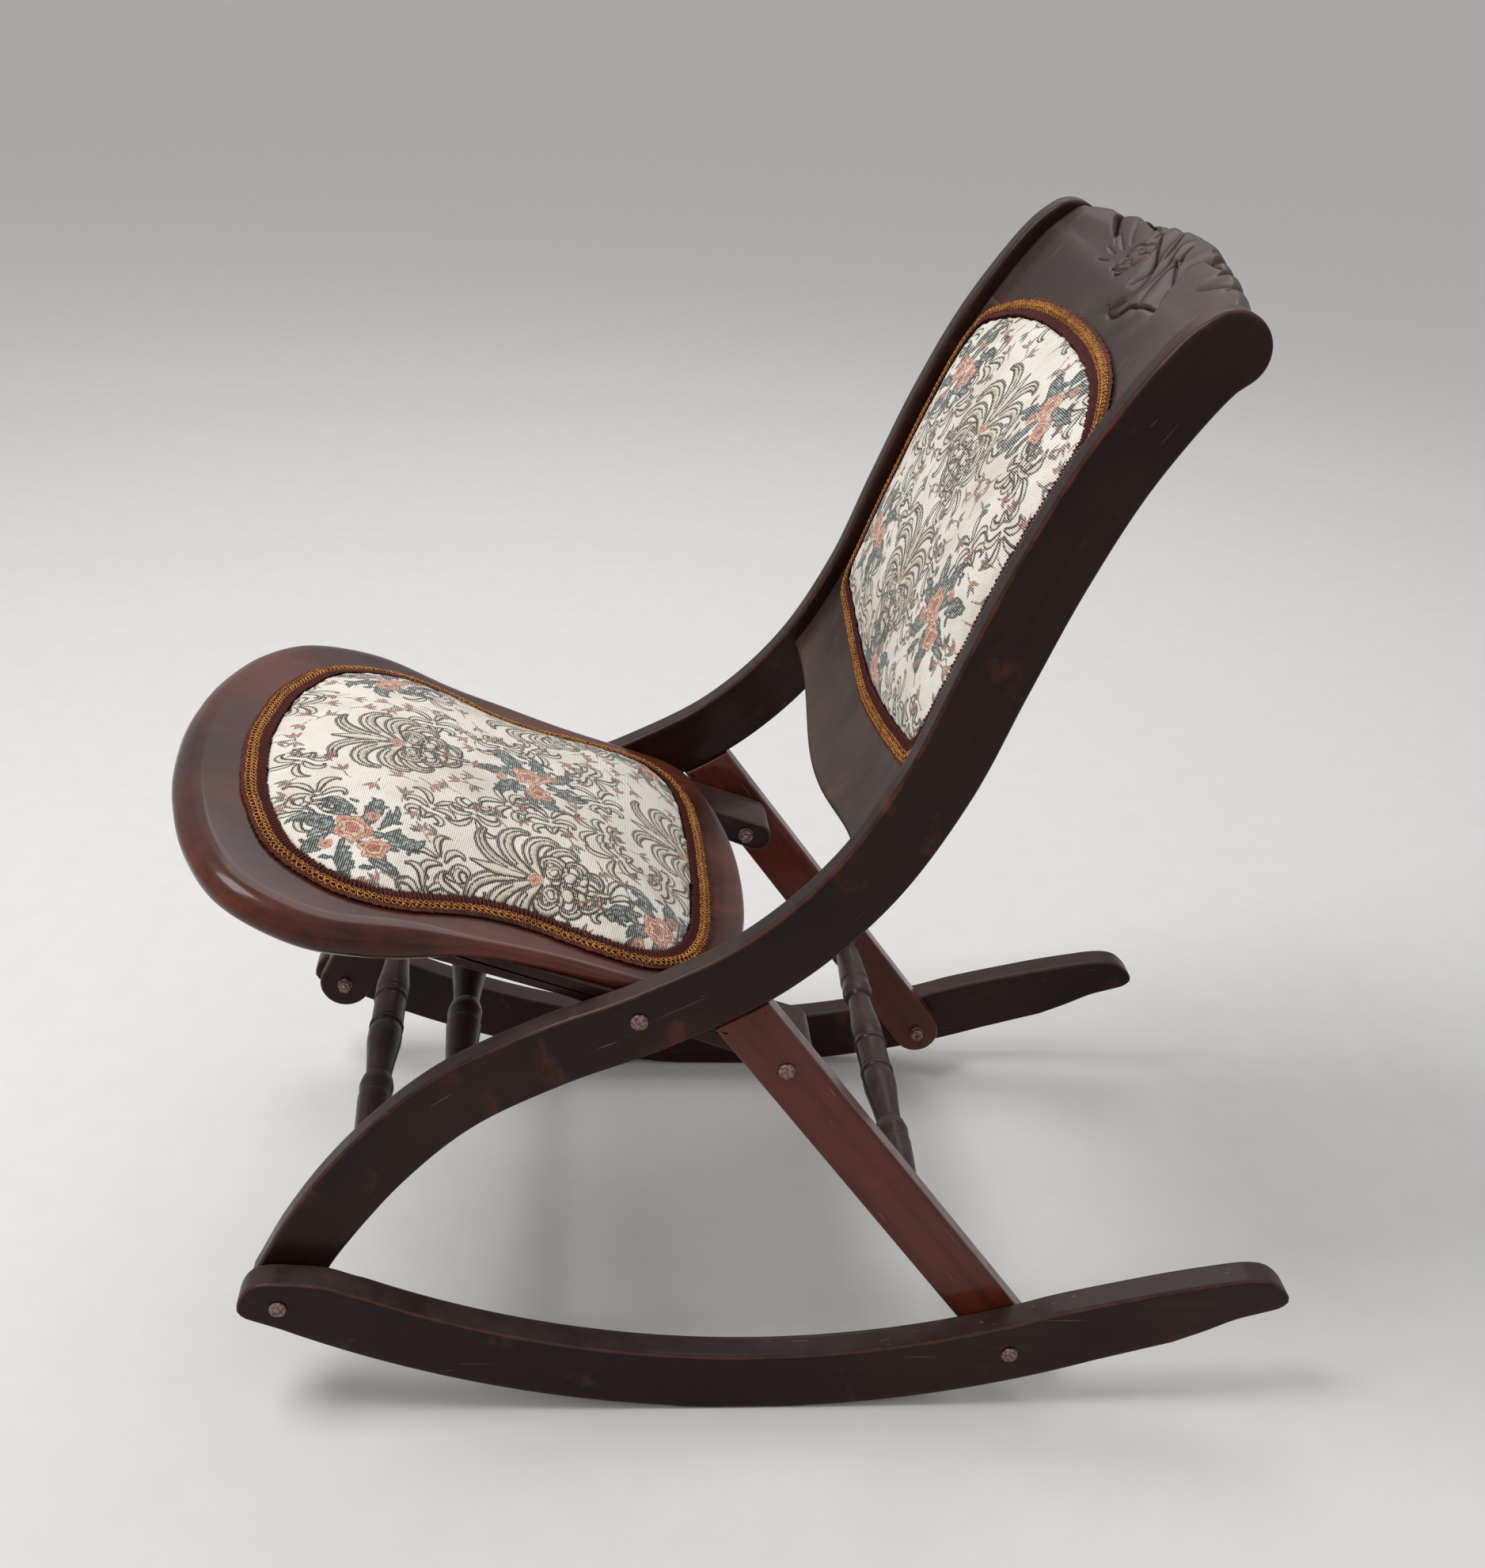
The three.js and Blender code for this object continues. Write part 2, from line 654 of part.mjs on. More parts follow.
function evenShares(from, to, steps) {
  return Array.from({ length: steps + 1 }, (_, k) => from + ((to - from) * k) / steps);
}

const plainColumnShares = evenShares(-1, 1, backColumns);

function crestRail() {
  const halfShares = crestShares.map(([across]) => across);
  const columnShares = [...halfShares.slice(1).reverse().map((share) => -share), ...halfShares];
  return backBoard(columnShares, crestRowShares, crestTop, () => crestBottom, crestThickness, 0);
}

function backPanel() {
  const top = () => crestBottom + seatingGap;
  return backBoard(plainColumnShares, evenShares(0, 1, backColumns), top, () => panelBottom, panelThickness);
}

function lowerBackRail() {
  const sag = (x) => lowerRailSag * Math.cos(((x / backHalfWidth) * Math.PI) / 2) ** 2;
  const bottom = (x) => lowerRailSideBottom + sag(x);
  const top = () => panelBottom + seatingGap;
  return backBoard(plainColumnShares, lowerRailRowShares, top, bottom, crestThickness, 1);
}

function backPadOutline() {
  const halfWidth = backHalfWidth - backPadSideBorder;
  const span = backPadBottom - backPadTop;
  return withInward(closedOutline(backPadShares.map(([a, b]) => [a * halfWidth, backPadTop + b * span])));
}

// Turned stretcher between two boards, with a tenon at each end
function stretcher() {
  const half = railInnerX - seatingGap;
  const turned = turningShares.map(([along, radius]) => (
    new THREE.Vector2(radius * stretcherRadius, along * half)
  ));
  const upper = [
    ...turned,
    new THREE.Vector2(tenonRadius, half),
    new THREE.Vector2(tenonRadius, half + tenonLength),
    new THREE.Vector2(0, half + tenonLength),
  ];
  const lower = upper.slice(1).reverse().map((point) => new THREE.Vector2(point.x, -point.y));
  return closedBody(new THREE.LatheGeometry([...lower, ...upper], turnedSides).rotateZ(-Math.PI / 2));
}

function mortise(place) {
  const depth = tenonLength + seatingGap;
  return crossHole(place, tenonRadius + seatingGap, railInnerX - depth, railInnerX + depth);
}

// Fasteners, turned about y with the head at the top

function bolt(grip) {
  const dome = Array.from({ length: domeSteps + 1 }, (_, k) => {
    const angle = ((Math.PI / 2) * k) / domeSteps;
    const flat = headHeight / 4;
    return new THREE.Vector2(headRadius * Math.cos(angle), flat + (headHeight - flat) * Math.sin(angle));
  });
  return closedBody(new THREE.LatheGeometry([
    new THREE.Vector2(0, -grip),
    new THREE.Vector2(shankRadius, -grip),
    new THREE.Vector2(shankRadius, 0),
    new THREE.Vector2(headRadius, 0),
    ...dome,
  ], boltSides));
}

function washer() {
  const hole = shankRadius + seatingGap;
  const half = washerThickness / 2;
  const section = [[hole, -half], [washerRadius, -half], [washerRadius, half], [hole, half], [hole, -half]];
  return closedBody(new THREE.LatheGeometry(section.map(([r, y]) => new THREE.Vector2(r, y)), boltSides));
}

function nut() {
  const body = new THREE.CylinderGeometry(nutRadius, nutRadius, nutHeight, nutSides);
  const boreRadius = shankRadius + seatingGap;
  const bore = new THREE.CylinderGeometry(boreRadius, boreRadius, 2 * nutHeight, boltSides);
  return cut(body, [bore]);
}

// A sleeve nut: a plain sleeve right through the leg with a round flange inside it
function sleeveNut() {
  const flange = washerThickness + 2 * seatingGap;
  return closedBody(new THREE.LatheGeometry([
    new THREE.Vector2(0, -flange - nutHeight),
    new THREE.Vector2(nutRadius * sleeveCornerShare, -flange - nutHeight),
    new THREE.Vector2(nutRadius, -flange - nutHeight * sleeveCornerShare),
    new THREE.Vector2(nutRadius, -flange),
    new THREE.Vector2(shankRadius, -flange),
    new THREE.Vector2(shankRadius, railThickness),
    new THREE.Vector2(0, railThickness),
  ], boltSides));
}

// The chair

const darkWood = { color: 0x3a211b, roughness: 0.38, metalness: 0 };
const redWood = { color: 0x5a2a1c, roughness: 0.32, metalness: 0 };
const agedIron = { color: 0x6b5750, roughness: 0.5, metalness: 0.8 };
const tapestry = { color: 0xb9a985, roughness: 0.95, metalness: 0 };
const braid = { color: 0x7a4a35, roughness: 0.9, metalness: 0 };

const chair = new THREE.Group();
const seat = new THREE.Group();
seat.position.set(0, seatPivot.x, seatPivot.y);
seat.rotation.x = -seatTilt;
chair.add(seat);

function addMesh(group, name, geometry, finish) {
  const mesh = new THREE.Mesh(geometry, new THREE.MeshStandardMaterial(finish));
  mesh.name = name;
  group.add(mesh);
  return mesh;
}

// Puts a fastener on its pivot with its head towards the outside of the chair
function addFastener(group, name, geometry, side, x, place) {
  const mesh = addMesh(group, name, geometry, agedIron);
  mesh.rotation.z = (-side * Math.PI) / 2;
  mesh.position.set(side * x, place.x, place.y);
}

function addClamp(group, name, side, headX, innerX, place) {
  const washerX = innerX - seatingGap - washerThickness / 2;
  const nutX = washerX - washerThickness / 2 - seatingGap - nutHeight / 2;
  const grip = headX + seatingGap - (nutX - nutHeight / 2) + boltTail;
  addFastener(group, `${name}_bolt`, bolt(grip), side, headX + seatingGap, place);
  addFastener(group, `${name}_washer`, washer(), side, washerX, place);
  addFastener(group, `${name}_nut`, nut(), side, nutX, place);
}

const lowerStretcherPlace = alongRail(lowerStretcherAlong).point;
const upperStretcherPlace = alongRail(upperStretcherAlong).point;
const rearStretcherPlace = legPivot.clone()
  .addScaledVector(rearPivot.clone().sub(legPivot).normalize(), rearStretcherAlong);

const overrun = 2 * runningGap;
const boltHole = (place, innerX, outerX) => (
  crossHole(place, boltHoleRadius, innerX - overrun, outerX + overrun)
);
const throughRail = (place) => boltHole(place, railInnerX, railOuterX);
const throughRocker = (place) => boltHole(place, rockerInnerX, rockerOuterX);

const rockerBoard = sawnBoard(rockerOutline(), rockerInnerX, rockerOuterX);
const rocker = cut(rockerBoard, [frontPivot, rearPivot].map(throughRocker));
const rail = cut(sawnBoard(railOutline(), railInnerX, railOuterX), [
  ...[frontPivot, seatPivot].map(throughRail),
  ...[lowerStretcherPlace, upperStretcherPlace].map(mortise),
]);
const leg = cut(sawnBoard(legOutline(), railInnerX, railOuterX), [
  ...[legPivot, rearPivot].map(throughRail),
  mortise(rearStretcherPlace),
]);
const arm = seatArm();

for (const [sideName, side] of [["left", 1], ["right", -1]]) {
  const sided = (geometry) => (side > 0 ? geometry : mirrored(geometry));
  addMesh(chair, `rocker_${sideName}`, sided(rocker), darkWood);
  addMesh(chair, `side_rail_${sideName}`, sided(rail), darkWood);
  addMesh(chair, `rear_leg_${sideName}`, sided(leg), redWood);
  addMesh(seat, `seat_arm_${sideName}`, sided(arm), darkWood);
  addClamp(chair, `front_pivot_${sideName}`, side, rockerOuterX, railInnerX, frontPivot);
  addClamp(seat, `seat_pivot_${sideName}`, side, railOuterX, armInnerX, seatPivotOnSeat);
  addClamp(seat, `leg_pivot_${sideName}`, side, railOuterX, armInnerX, legPivotOnSeat);
  addFastener(chair, `rear_pivot_${sideName}_bolt`, bolt(rockerThickness + seatingGap), side,
    rockerOuterX + seatingGap, rearPivot);
  addFastener(chair, `rear_pivot_${sideName}_washer`, washer(), side,
    railInnerX - seatingGap - washerThickness / 2, rearPivot);
  addFastener(chair, `rear_pivot_${sideName}_sleeve_nut`, sleeveNut(), side, railInnerX, rearPivot);
}

const stretchers = {
  front_stretcher_lower: lowerStretcherPlace,
  front_stretcher_upper: upperStretcherPlace,
  rear_stretcher: rearStretcherPlace,
};
for (const [name, place] of Object.entries(stretchers)) {
  addMesh(chair, name, stretcher(), darkWood).position.set(0, place.x, place.y);
}

addMesh(chair, "crest_rail", crestRail(), darkWood);
addMesh(chair, "back_panel", backPanel(), darkWood);
addMesh(chair, "lower_back_rail", lowerBackRail(), darkWood);
addMesh(chair, "back_pad", padSolid(backPadOutline(), backCrown, onBack, curvedBackShares), tapestry);
addMesh(chair, "back_gimp", gimpSolid(backPadOutline(), onBack), braid);
addMesh(seat, "seat_board", seatBoard(), redWood);
addMesh(seat, "seat_pad", padSolid(seatPadOutline(), seatCrown, onSeatTop, []), tapestry);
addMesh(seat, "seat_gimp", gimpSolid(seatPadOutline(), onSeatTop), braid);

export default chair;
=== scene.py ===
"""Folding rocking chair: the finished surface of every piece, laid over the packed frame.

Sizes are in millimetres up to the point where a mesh is written, and in metres after it.
The sitter faces -Y and the sitter's left is +X.
"""

import math

import bmesh
import bpy
import numpy as np
from mathutils import Matrix, Vector


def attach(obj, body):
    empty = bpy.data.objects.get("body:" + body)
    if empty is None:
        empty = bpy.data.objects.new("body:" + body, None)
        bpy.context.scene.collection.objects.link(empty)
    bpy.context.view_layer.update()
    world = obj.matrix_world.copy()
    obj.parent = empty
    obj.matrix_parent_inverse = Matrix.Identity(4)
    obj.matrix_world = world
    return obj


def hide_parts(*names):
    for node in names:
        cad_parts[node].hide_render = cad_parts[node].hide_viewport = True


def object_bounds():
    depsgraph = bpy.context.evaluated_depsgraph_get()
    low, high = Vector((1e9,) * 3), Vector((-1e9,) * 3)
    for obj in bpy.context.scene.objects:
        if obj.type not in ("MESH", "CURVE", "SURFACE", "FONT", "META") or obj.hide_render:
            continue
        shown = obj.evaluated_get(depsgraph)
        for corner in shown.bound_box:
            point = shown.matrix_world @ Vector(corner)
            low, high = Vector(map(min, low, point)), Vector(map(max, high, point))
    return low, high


bl_info = {
    "name": "Folding Rocking Chair",
    "version": (1, 0, 0),
    "blender": (4, 5, 0),
    "location": "View3D > Sidebar > Rocking Chair",
    "description": "Finishes a folding rocking chair in aged wood, tapestry pads and gimp",
    "category": "Object",
}

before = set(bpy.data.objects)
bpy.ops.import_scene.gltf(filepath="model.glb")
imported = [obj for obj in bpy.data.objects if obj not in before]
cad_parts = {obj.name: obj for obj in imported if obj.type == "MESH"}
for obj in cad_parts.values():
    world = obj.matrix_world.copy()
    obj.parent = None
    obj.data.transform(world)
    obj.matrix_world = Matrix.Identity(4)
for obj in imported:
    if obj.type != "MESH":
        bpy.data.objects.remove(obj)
FRAME_LOW, FRAME_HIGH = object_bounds()
MM = 0.001
SIDES = (("left", 1), ("right", -1))

# Boards across the chair
OUTER_HALF = 238.0
ROCKER_INNER = 214.0
RAIL_OUTER = 213.6
RAIL_INNER = 193.6
ARM_OUTER = 193.2
ARM_INNER = 143.2
BACK_HALF = 193.3
WAIST_HALF = 192.8
SEATING_GAP = 0.3
BOARD_EDGE = 2.6

# Rockers
FRONT_PIVOT_Y = -325.0
ROLL_RADIUS = 791.2
FLAT_IN_FRONT = 52.0
FLAT_BEHIND = 34.0
ROLL_CENTRE = 16.4
ROCKER_DEPTH = 48.3
ROCKER_TOP_RADIUS = 697.3
ROCKER_TOP_SHIFT = 5.4
NOSE = (29.0, 21.0)
TAIL_START = 266.0
TAIL = (129.0, 57.0)
TAIL_DEPTH = 54.0

# Pivots and rails
PIVOT_SPAN = 530.0
FRONT_PIVOT_RISE = 19.5
REAR_PIVOT_RISE = 27.2
RAIL_REACH = (247.0, 225.0)
BACK_REACH = (332.0, 468.0)
RAIL_WIDTH = 48.0
RAIL_FOOT = 22.5
LEG_WIDTH = 41.0
LEG_TOP_GAP = 1.0
LEG_EDGE = 2.2
SEAT_TILT = math.radians(17.5)
LEG_PIVOT = (110.0, -6.3)

# Turned stretchers
STRETCHER_RADIUS = 12.5
LOWER_STRETCHER_ALONG = 110.0
UPPER_STRETCHER_ALONG = 203.0
REAR_STRETCHER_ALONG = 168.0

# Seat
SEAT_HALF = 234.0
SEAT_FRONT = 350.0
SEAT_REAR = 87.0
SEAT_UNDERSIDE = 6.5
SEAT_THICKNESS = 11.5
RIM_DROP = 15.5
RIM_INSET = 18.0
RIM_ROLL = 16.0
ARM_FRONT = 258.0
ARM_REAR = 132.0
ARM_FRONT_DEPTH = 15.0
ARM_REAR_DEPTH = 24.5
ARM_EDGE = 2.0

# Upholstery
PAD_VOXEL = 4.2
PAD_PRESSURE = 4
PAD_STEPS = 20
PAD_START = 0.86
PAD_SIDE_BORDER = 41.0
PAD_FRONT = 307.5
PAD_REAR = 57.0
BACK_PAD_BORDER = 6.0
BACK_PAD_TOP = 43.0
BACK_PAD_BOTTOM = 362.0

# Back boards, measured down the rail from its ear
CREST_RISE = 54.0
CREST_BOTTOM = 75.0
PANEL_BOTTOM = 330.0
LOWER_RAIL_SIDE = 407.0
LOWER_RAIL_SAG = 22.0
BACK_RECESS = 11.5
BACK_HOLLOW = 10.0
CREST_THICKNESS = 20.0
CREST_NOTCH = 5.0
PANEL_THICKNESS = 12.0
FLOWER_AT = (-36, -9)
FLOWER_RADIUS = 18.0
FLOWER_HEART = 4.6

# Fasteners
BOLT_RADIUS = 3.0
BOLT_TAIL = 2.0
REAR_BOLT_GRIP = 24.3
HEAD_RADIUS = 6.2
HEAD_EDGE = 0.8
HEAD_HEIGHT = 3.2
BORE_RADIUS = 3.3
WASHER_RADIUS = 6.4
WASHER_THICKNESS = 1.2
NUT_RADIUS = 5.6
NUT_THICKNESS = 4.8
SLEEVE_REACH = 20.0

# Motifs of the covers
FAN_SCALE = 0.56
FAN_SPACING = 46
FAN_CLEAR = 16
SPRIG_SPACING = 19

# Outlines, as shares of the sizes that they follow
RAIL_LOWER_SHARES = [(0, 0), (0.09, 0.185), (0.27, 0.46), (0.488, 0.693), (0.75, 0.86), (1.04, 1)]
RAIL_UPPER_SHARES = [
    (0.252, 0.092), (0.434, 0.2235), (0.563, 0.383), (0.649, 0.544), (0.735, 0.7), (0.837, 0.849),
    (0.964, 0.979), (1, 1), (1.06, 1.032), (1.13, 1.06),
]
NOSE_SHARES = [
    (1.79, 0.52), (1.14, 0.86), (0.69, 0.95), (0.17, 1), (-0.31, 1), (-0.59, 0.9), (-0.76, 0.71),
    (-0.93, 0.33), (-1, -0.14), (-0.86, -0.45),
]
TAIL_TOP_SHARES = [
    (-0.06, 0.92), (0.28, 1.1), (0.52, 1.2), (0.76, 1.27), (0.87, 1.23), (0.94, 1.11), (1, 0.9),
]
TAIL_UNDER_SHARES = [(0.96, 0.79), (0.85, 0.7), (0.71, 0.6), (0.53, 0.4), (0.35, 0.22)]
SEAT_FRONT_SHARES = [
    (0, 1), (0.342, 0.982), (0.47, 0.963), (0.641, 0.931), (0.761, 0.893), (0.855, 0.856), (0.915, 0.813),
    (0.957, 0.761), (0.987, 0.697), (1, 0.64),
]
SEAT_FLANK_SHARES = [(0.83, 0.565), (0.56, 0.48), (0.3, 0.39), (0.13, 0.3), (0.05, 0.23), (0, 0.178)]
SEAT_BACK_SHARES = [(1, 0.1), (1, 0.36), (0.93, 0.56), (0.77, 0.74), (0.57, 0.86), (0.33, 0.96), (0, 1)]
PAD_FRONT_SHARES = [
    (0, 1), (0.23, 0.989), (0.445, 0.97), (0.57, 0.946), (0.71, 0.914), (0.824, 0.875), (0.896, 0.829),
    (0.959, 0.767), (0.995, 0.702), (1, 0.621), (0.974, 0.543), (0.922, 0.465),
]
PAD_WAIST_SHARES = [(0.876, 0.384), (0.866, 0.27), (0.887, 0.2), (0.902, 0.12), (0.908, 0.03)]
PAD_BACK_SHARES = [(0.885, 0.2), (0.79, 0.6), (0.6, 0.87), (0.31, 0.98), (0, 1)]
BACK_PAD_SHARES = [
    (0, 0), (0.22, 0.004), (0.45, 0.018), (0.66, 0.045), (0.82, 0.082), (0.94, 0.122), (1, 0.19), (1, 0.49),
    (1, 0.81), (0.98, 0.876), (0.914, 0.922), (0.69, 0.953), (0.34, 0.985), (0, 1),
]
CREST_SHARES = [
    (0, 1), (0.12, 0.985), (0.23, 0.93), (0.3, 0.84), (0.36, 0.86), (0.44, 0.8), (0.5, 0.72), (0.58, 0.73),
    (0.66, 0.66), (0.72, 0.58), (0.8, 0.57), (0.9, 0.47), (1, 0.35),
]
TURNING_SHARES = [
    (0, 1), (0.08, 1.01), (0.095, 1.1), (0.115, 1.1), (0.13, 0.98), (0.16, 1.07), (0.22, 1.06), (0.34, 0.88),
    (0.46, 0.75), (0.475, 0.9), (0.53, 1.04), (0.585, 0.95), (0.61, 1.02), (0.8, 0.88), (1, 0.69),
]


# Curves and outlines


def smooth_line(knots, closed=False, per_span=24):
    """A centripetal Catmull-Rom line through the knots, finely divided."""
    knots = np.asarray(knots, float)
    if closed:
        padded = np.vstack([knots[-1], knots, knots[0], knots[1]])
    else:
        padded = np.vstack([2 * knots[0] - knots[1], knots, 2 * knots[-1] - knots[-2]])
    t = np.arange(per_span)[:, None] / per_span
    spans = []
    for p0, p1, p2, p3 in zip(padded, padded[1:], padded[2:], padded[3:]):
        d0, d1, d2 = (math.sqrt(max(np.linalg.norm(b - a), 1e-6)) for a, b in ((p0, p1), (p1, p2), (p2, p3)))
        out = ((p1 - p0) / d0 - (p2 - p0) / (d0 + d1) + (p2 - p1) / d1) * d1
        into = ((p2 - p1) / d1 - (p3 - p1) / (d1 + d2) + (p3 - p2) / d2) * d1
        square, cube = 3 * (p2 - p1) - 2 * out - into, 2 * (p1 - p2) + out + into
        spans.append(p1 + t * out + t**2 * square + t**3 * cube)
    if not closed:
        spans.append(knots[-1:])
    return np.vstack(spans)


def lengths_along(points):
    return np.r_[0, np.cumsum(np.linalg.norm(np.diff(points, axis=0), axis=1))]


def evenly(points, count, closed=False):
    """The same line in equal steps."""
    if closed:
        points = np.vstack([points, points[:1]])
    reached = lengths_along(points)
    at = np.linspace(0, reached[-1], count + 1)
    if closed:
        at = at[:-1]
    return np.column_stack([np.interp(at, reached, column) for column in points.T])


def eased_loop(values, reach):
    """A closed row of values, each the mean of those within reach of it."""
    shares = np.ones(2 * reach + 1) / (2 * reach + 1)
    values = np.asarray(values, float)
    columns = values.reshape(len(values), -1).T
    eased = [np.convolve(np.pad(column, reach, mode="wrap"), shares, "valid") for column in columns]
    return np.array(eased).T.reshape(values.shape)


def unit(vectors):
    return vectors / np.maximum(np.linalg.norm(vectors, axis=-1, keepdims=True), 1e-9)


def inward_of(outline):
    """The way inwards at each point of a closed outline, longer at corners so that walls stay parallel."""
    before = unit(outline - np.roll(outline, 1, 0))
    after = unit(np.roll(outline, -1, 0) - outline)
    y, z = outline.T
    turn = np.sign(np.sum(y * np.roll(z, -1) - z * np.roll(y, -1)))
    first = np.column_stack([-before[:, 1], before[:, 0]]) * turn
    second = np.column_stack([-after[:, 1], after[:, 0]]) * turn
    spread = np.maximum(1 + (first * second).sum(1), 0.5)
    return (first + second) / spread[:, None]


def underside_height(y):
    return ROLL_RADIUS - math.sqrt(ROLL_RADIUS**2 - (y - ROLL_CENTRE) ** 2)


FRONT_PIVOT = np.array([FRONT_PIVOT_Y, underside_height(FRONT_PIVOT_Y) + FRONT_PIVOT_RISE])
REAR_PIVOT_Y = FRONT_PIVOT_Y + PIVOT_SPAN
REAR_PIVOT = np.array([REAR_PIVOT_Y, underside_height(REAR_PIVOT_Y) + REAR_PIVOT_RISE])
SEAT_PIVOT = FRONT_PIVOT + np.array(RAIL_REACH)
SEAT_ALONG = np.array([math.cos(SEAT_TILT), -math.sin(SEAT_TILT)])
SEAT_UP = np.array([math.sin(SEAT_TILT), math.cos(SEAT_TILT)])
LEG_TOP_PIVOT = SEAT_PIVOT + LEG_PIVOT[0] * SEAT_ALONG + LEG_PIVOT[1] * SEAT_UP
SEAT_TOP = SEAT_UNDERSIDE + SEAT_THICKNESS

RAIL_KNOTS = [FRONT_PIVOT + np.array(share) * RAIL_REACH for share in RAIL_LOWER_SHARES] + [
    SEAT_PIVOT + np.array(share) * BACK_REACH for share in RAIL_UPPER_SHARES
]
KNOT_STEPS = 60
RAIL_LINE = smooth_line(RAIL_KNOTS, per_span=KNOT_STEPS)
RAIL_REACHED = lengths_along(RAIL_LINE)
RAIL_TANGENTS = unit(np.gradient(RAIL_LINE, axis=0))
RAIL_LENGTH = RAIL_REACHED[(len(RAIL_KNOTS) - 3) * KNOT_STEPS]


def along_rail(distance):
    """Points of the rail's middle line and the way towards the sitter there."""
    distance = np.atleast_1d(distance)
    point = np.column_stack([np.interp(distance, RAIL_REACHED, column) for column in RAIL_LINE.T])
    tangent = unit(np.column_stack([np.interp(distance, RAIL_REACHED, column) for column in RAIL_TANGENTS.T]))
    return point, np.column_stack([-tangent[:, 1], tangent[:, 0]])


def beside_rail(distance, offset):
    point, front = along_rail(distance)
    return point + front * np.reshape(offset, (-1, 1))


def smoothstep(value, low, high):
    t = np.clip((value - low) / (high - low), 0, 1)
    return t * t * (3 - 2 * t)


def on_seat(x, along, lift):
    """Points given across the seat, back along it and up from its board's plane."""
    x, along, lift = np.broadcast_arrays(np.asarray(x, float), along, lift)
    side = SEAT_PIVOT + along[..., None] * SEAT_ALONG + lift[..., None] * SEAT_UP
    return np.concatenate([x[..., None], side], axis=-1)


def seat_places(points):
    """Points across the seat, back along it and above the board."""
    beyond = points[:, 1:] - SEAT_PIVOT
    return np.column_stack([points[:, 0], beyond @ SEAT_ALONG, beyond @ SEAT_UP - SEAT_TOP])


def back_surface(x):
    return RAIL_WIDTH / 2 - BACK_RECESS - BACK_HOLLOW * (1 - (x / BACK_HALF) ** 2)


def on_back(x, down, lift):
    """Points given across the back, down from the ears and out from its hollow front."""
    x, down, lift = (np.ravel(v) for v in np.broadcast_arrays(np.asarray(x, float), down, lift))
    side = beside_rail(RAIL_LENGTH - down, back_surface(x) + lift)
    return np.column_stack([x, side])


def back_places(points):
    """Points across the back, down it and out from its front."""
    stations = RAIL_LINE[::4]
    nearest = np.concatenate([
        np.argmin(((block[:, None, 1:] - stations[None]) ** 2).sum(2), axis=1)
        for block in np.array_split(points, max(1, len(points) // 4000))
    ])
    at = RAIL_REACHED[::4][nearest]
    point, front = along_rail(at)
    tangent = np.column_stack([front[:, 1], -front[:, 0]])
    beyond = points[:, 1:] - point
    down = RAIL_LENGTH - at - (beyond * tangent).sum(1)
    return np.column_stack([points[:, 0], down, (beyond * front).sum(1) - back_surface(points[:, 0])])


def arc(centre, radius, start, stop, steps):
    angle = np.linspace(start, stop, steps + 1)
    return np.column_stack([centre[0] + radius * np.cos(angle), centre[1] + radius * np.sin(angle)])


def both_halves(half):
    """A closed outline from the half on one side of the middle."""
    half = np.asarray(half, float)
    return np.vstack([half, half[1:-1][::-1] * [-1, 1]])


def seat_pad_outline():
    half = [(a * (SEAT_HALF - PAD_SIDE_BORDER), -b * PAD_FRONT) for a, b in PAD_FRONT_SHARES]
    half += [(a * WAIST_HALF, -b * PAD_FRONT) for a, b in PAD_WAIST_SHARES]
    half += [(a * WAIST_HALF, b * PAD_REAR) for a, b in PAD_BACK_SHARES]
    return smooth_line(both_halves(half), closed=True)


def back_pad_outline():
    span = BACK_PAD_BOTTOM - BACK_PAD_TOP
    half = [(a * (BACK_HALF - BACK_PAD_BORDER), BACK_PAD_TOP + b * span) for a, b in BACK_PAD_SHARES]
    return smooth_line(both_halves(half), closed=True)


# Shader building


def linear(red, green, blue):
    """A colour as it is seen, 0 to 255, as the shader's own numbers."""
    seen = [c / 255 for c in (red, green, blue)]
    return tuple(c / 12.92 if c < 0.04045 else ((c + 0.055) / 1.055) ** 2.4 for c in seen) + (1.0,)


def opaque(colour):
    return (*colour[:3], 1.0)


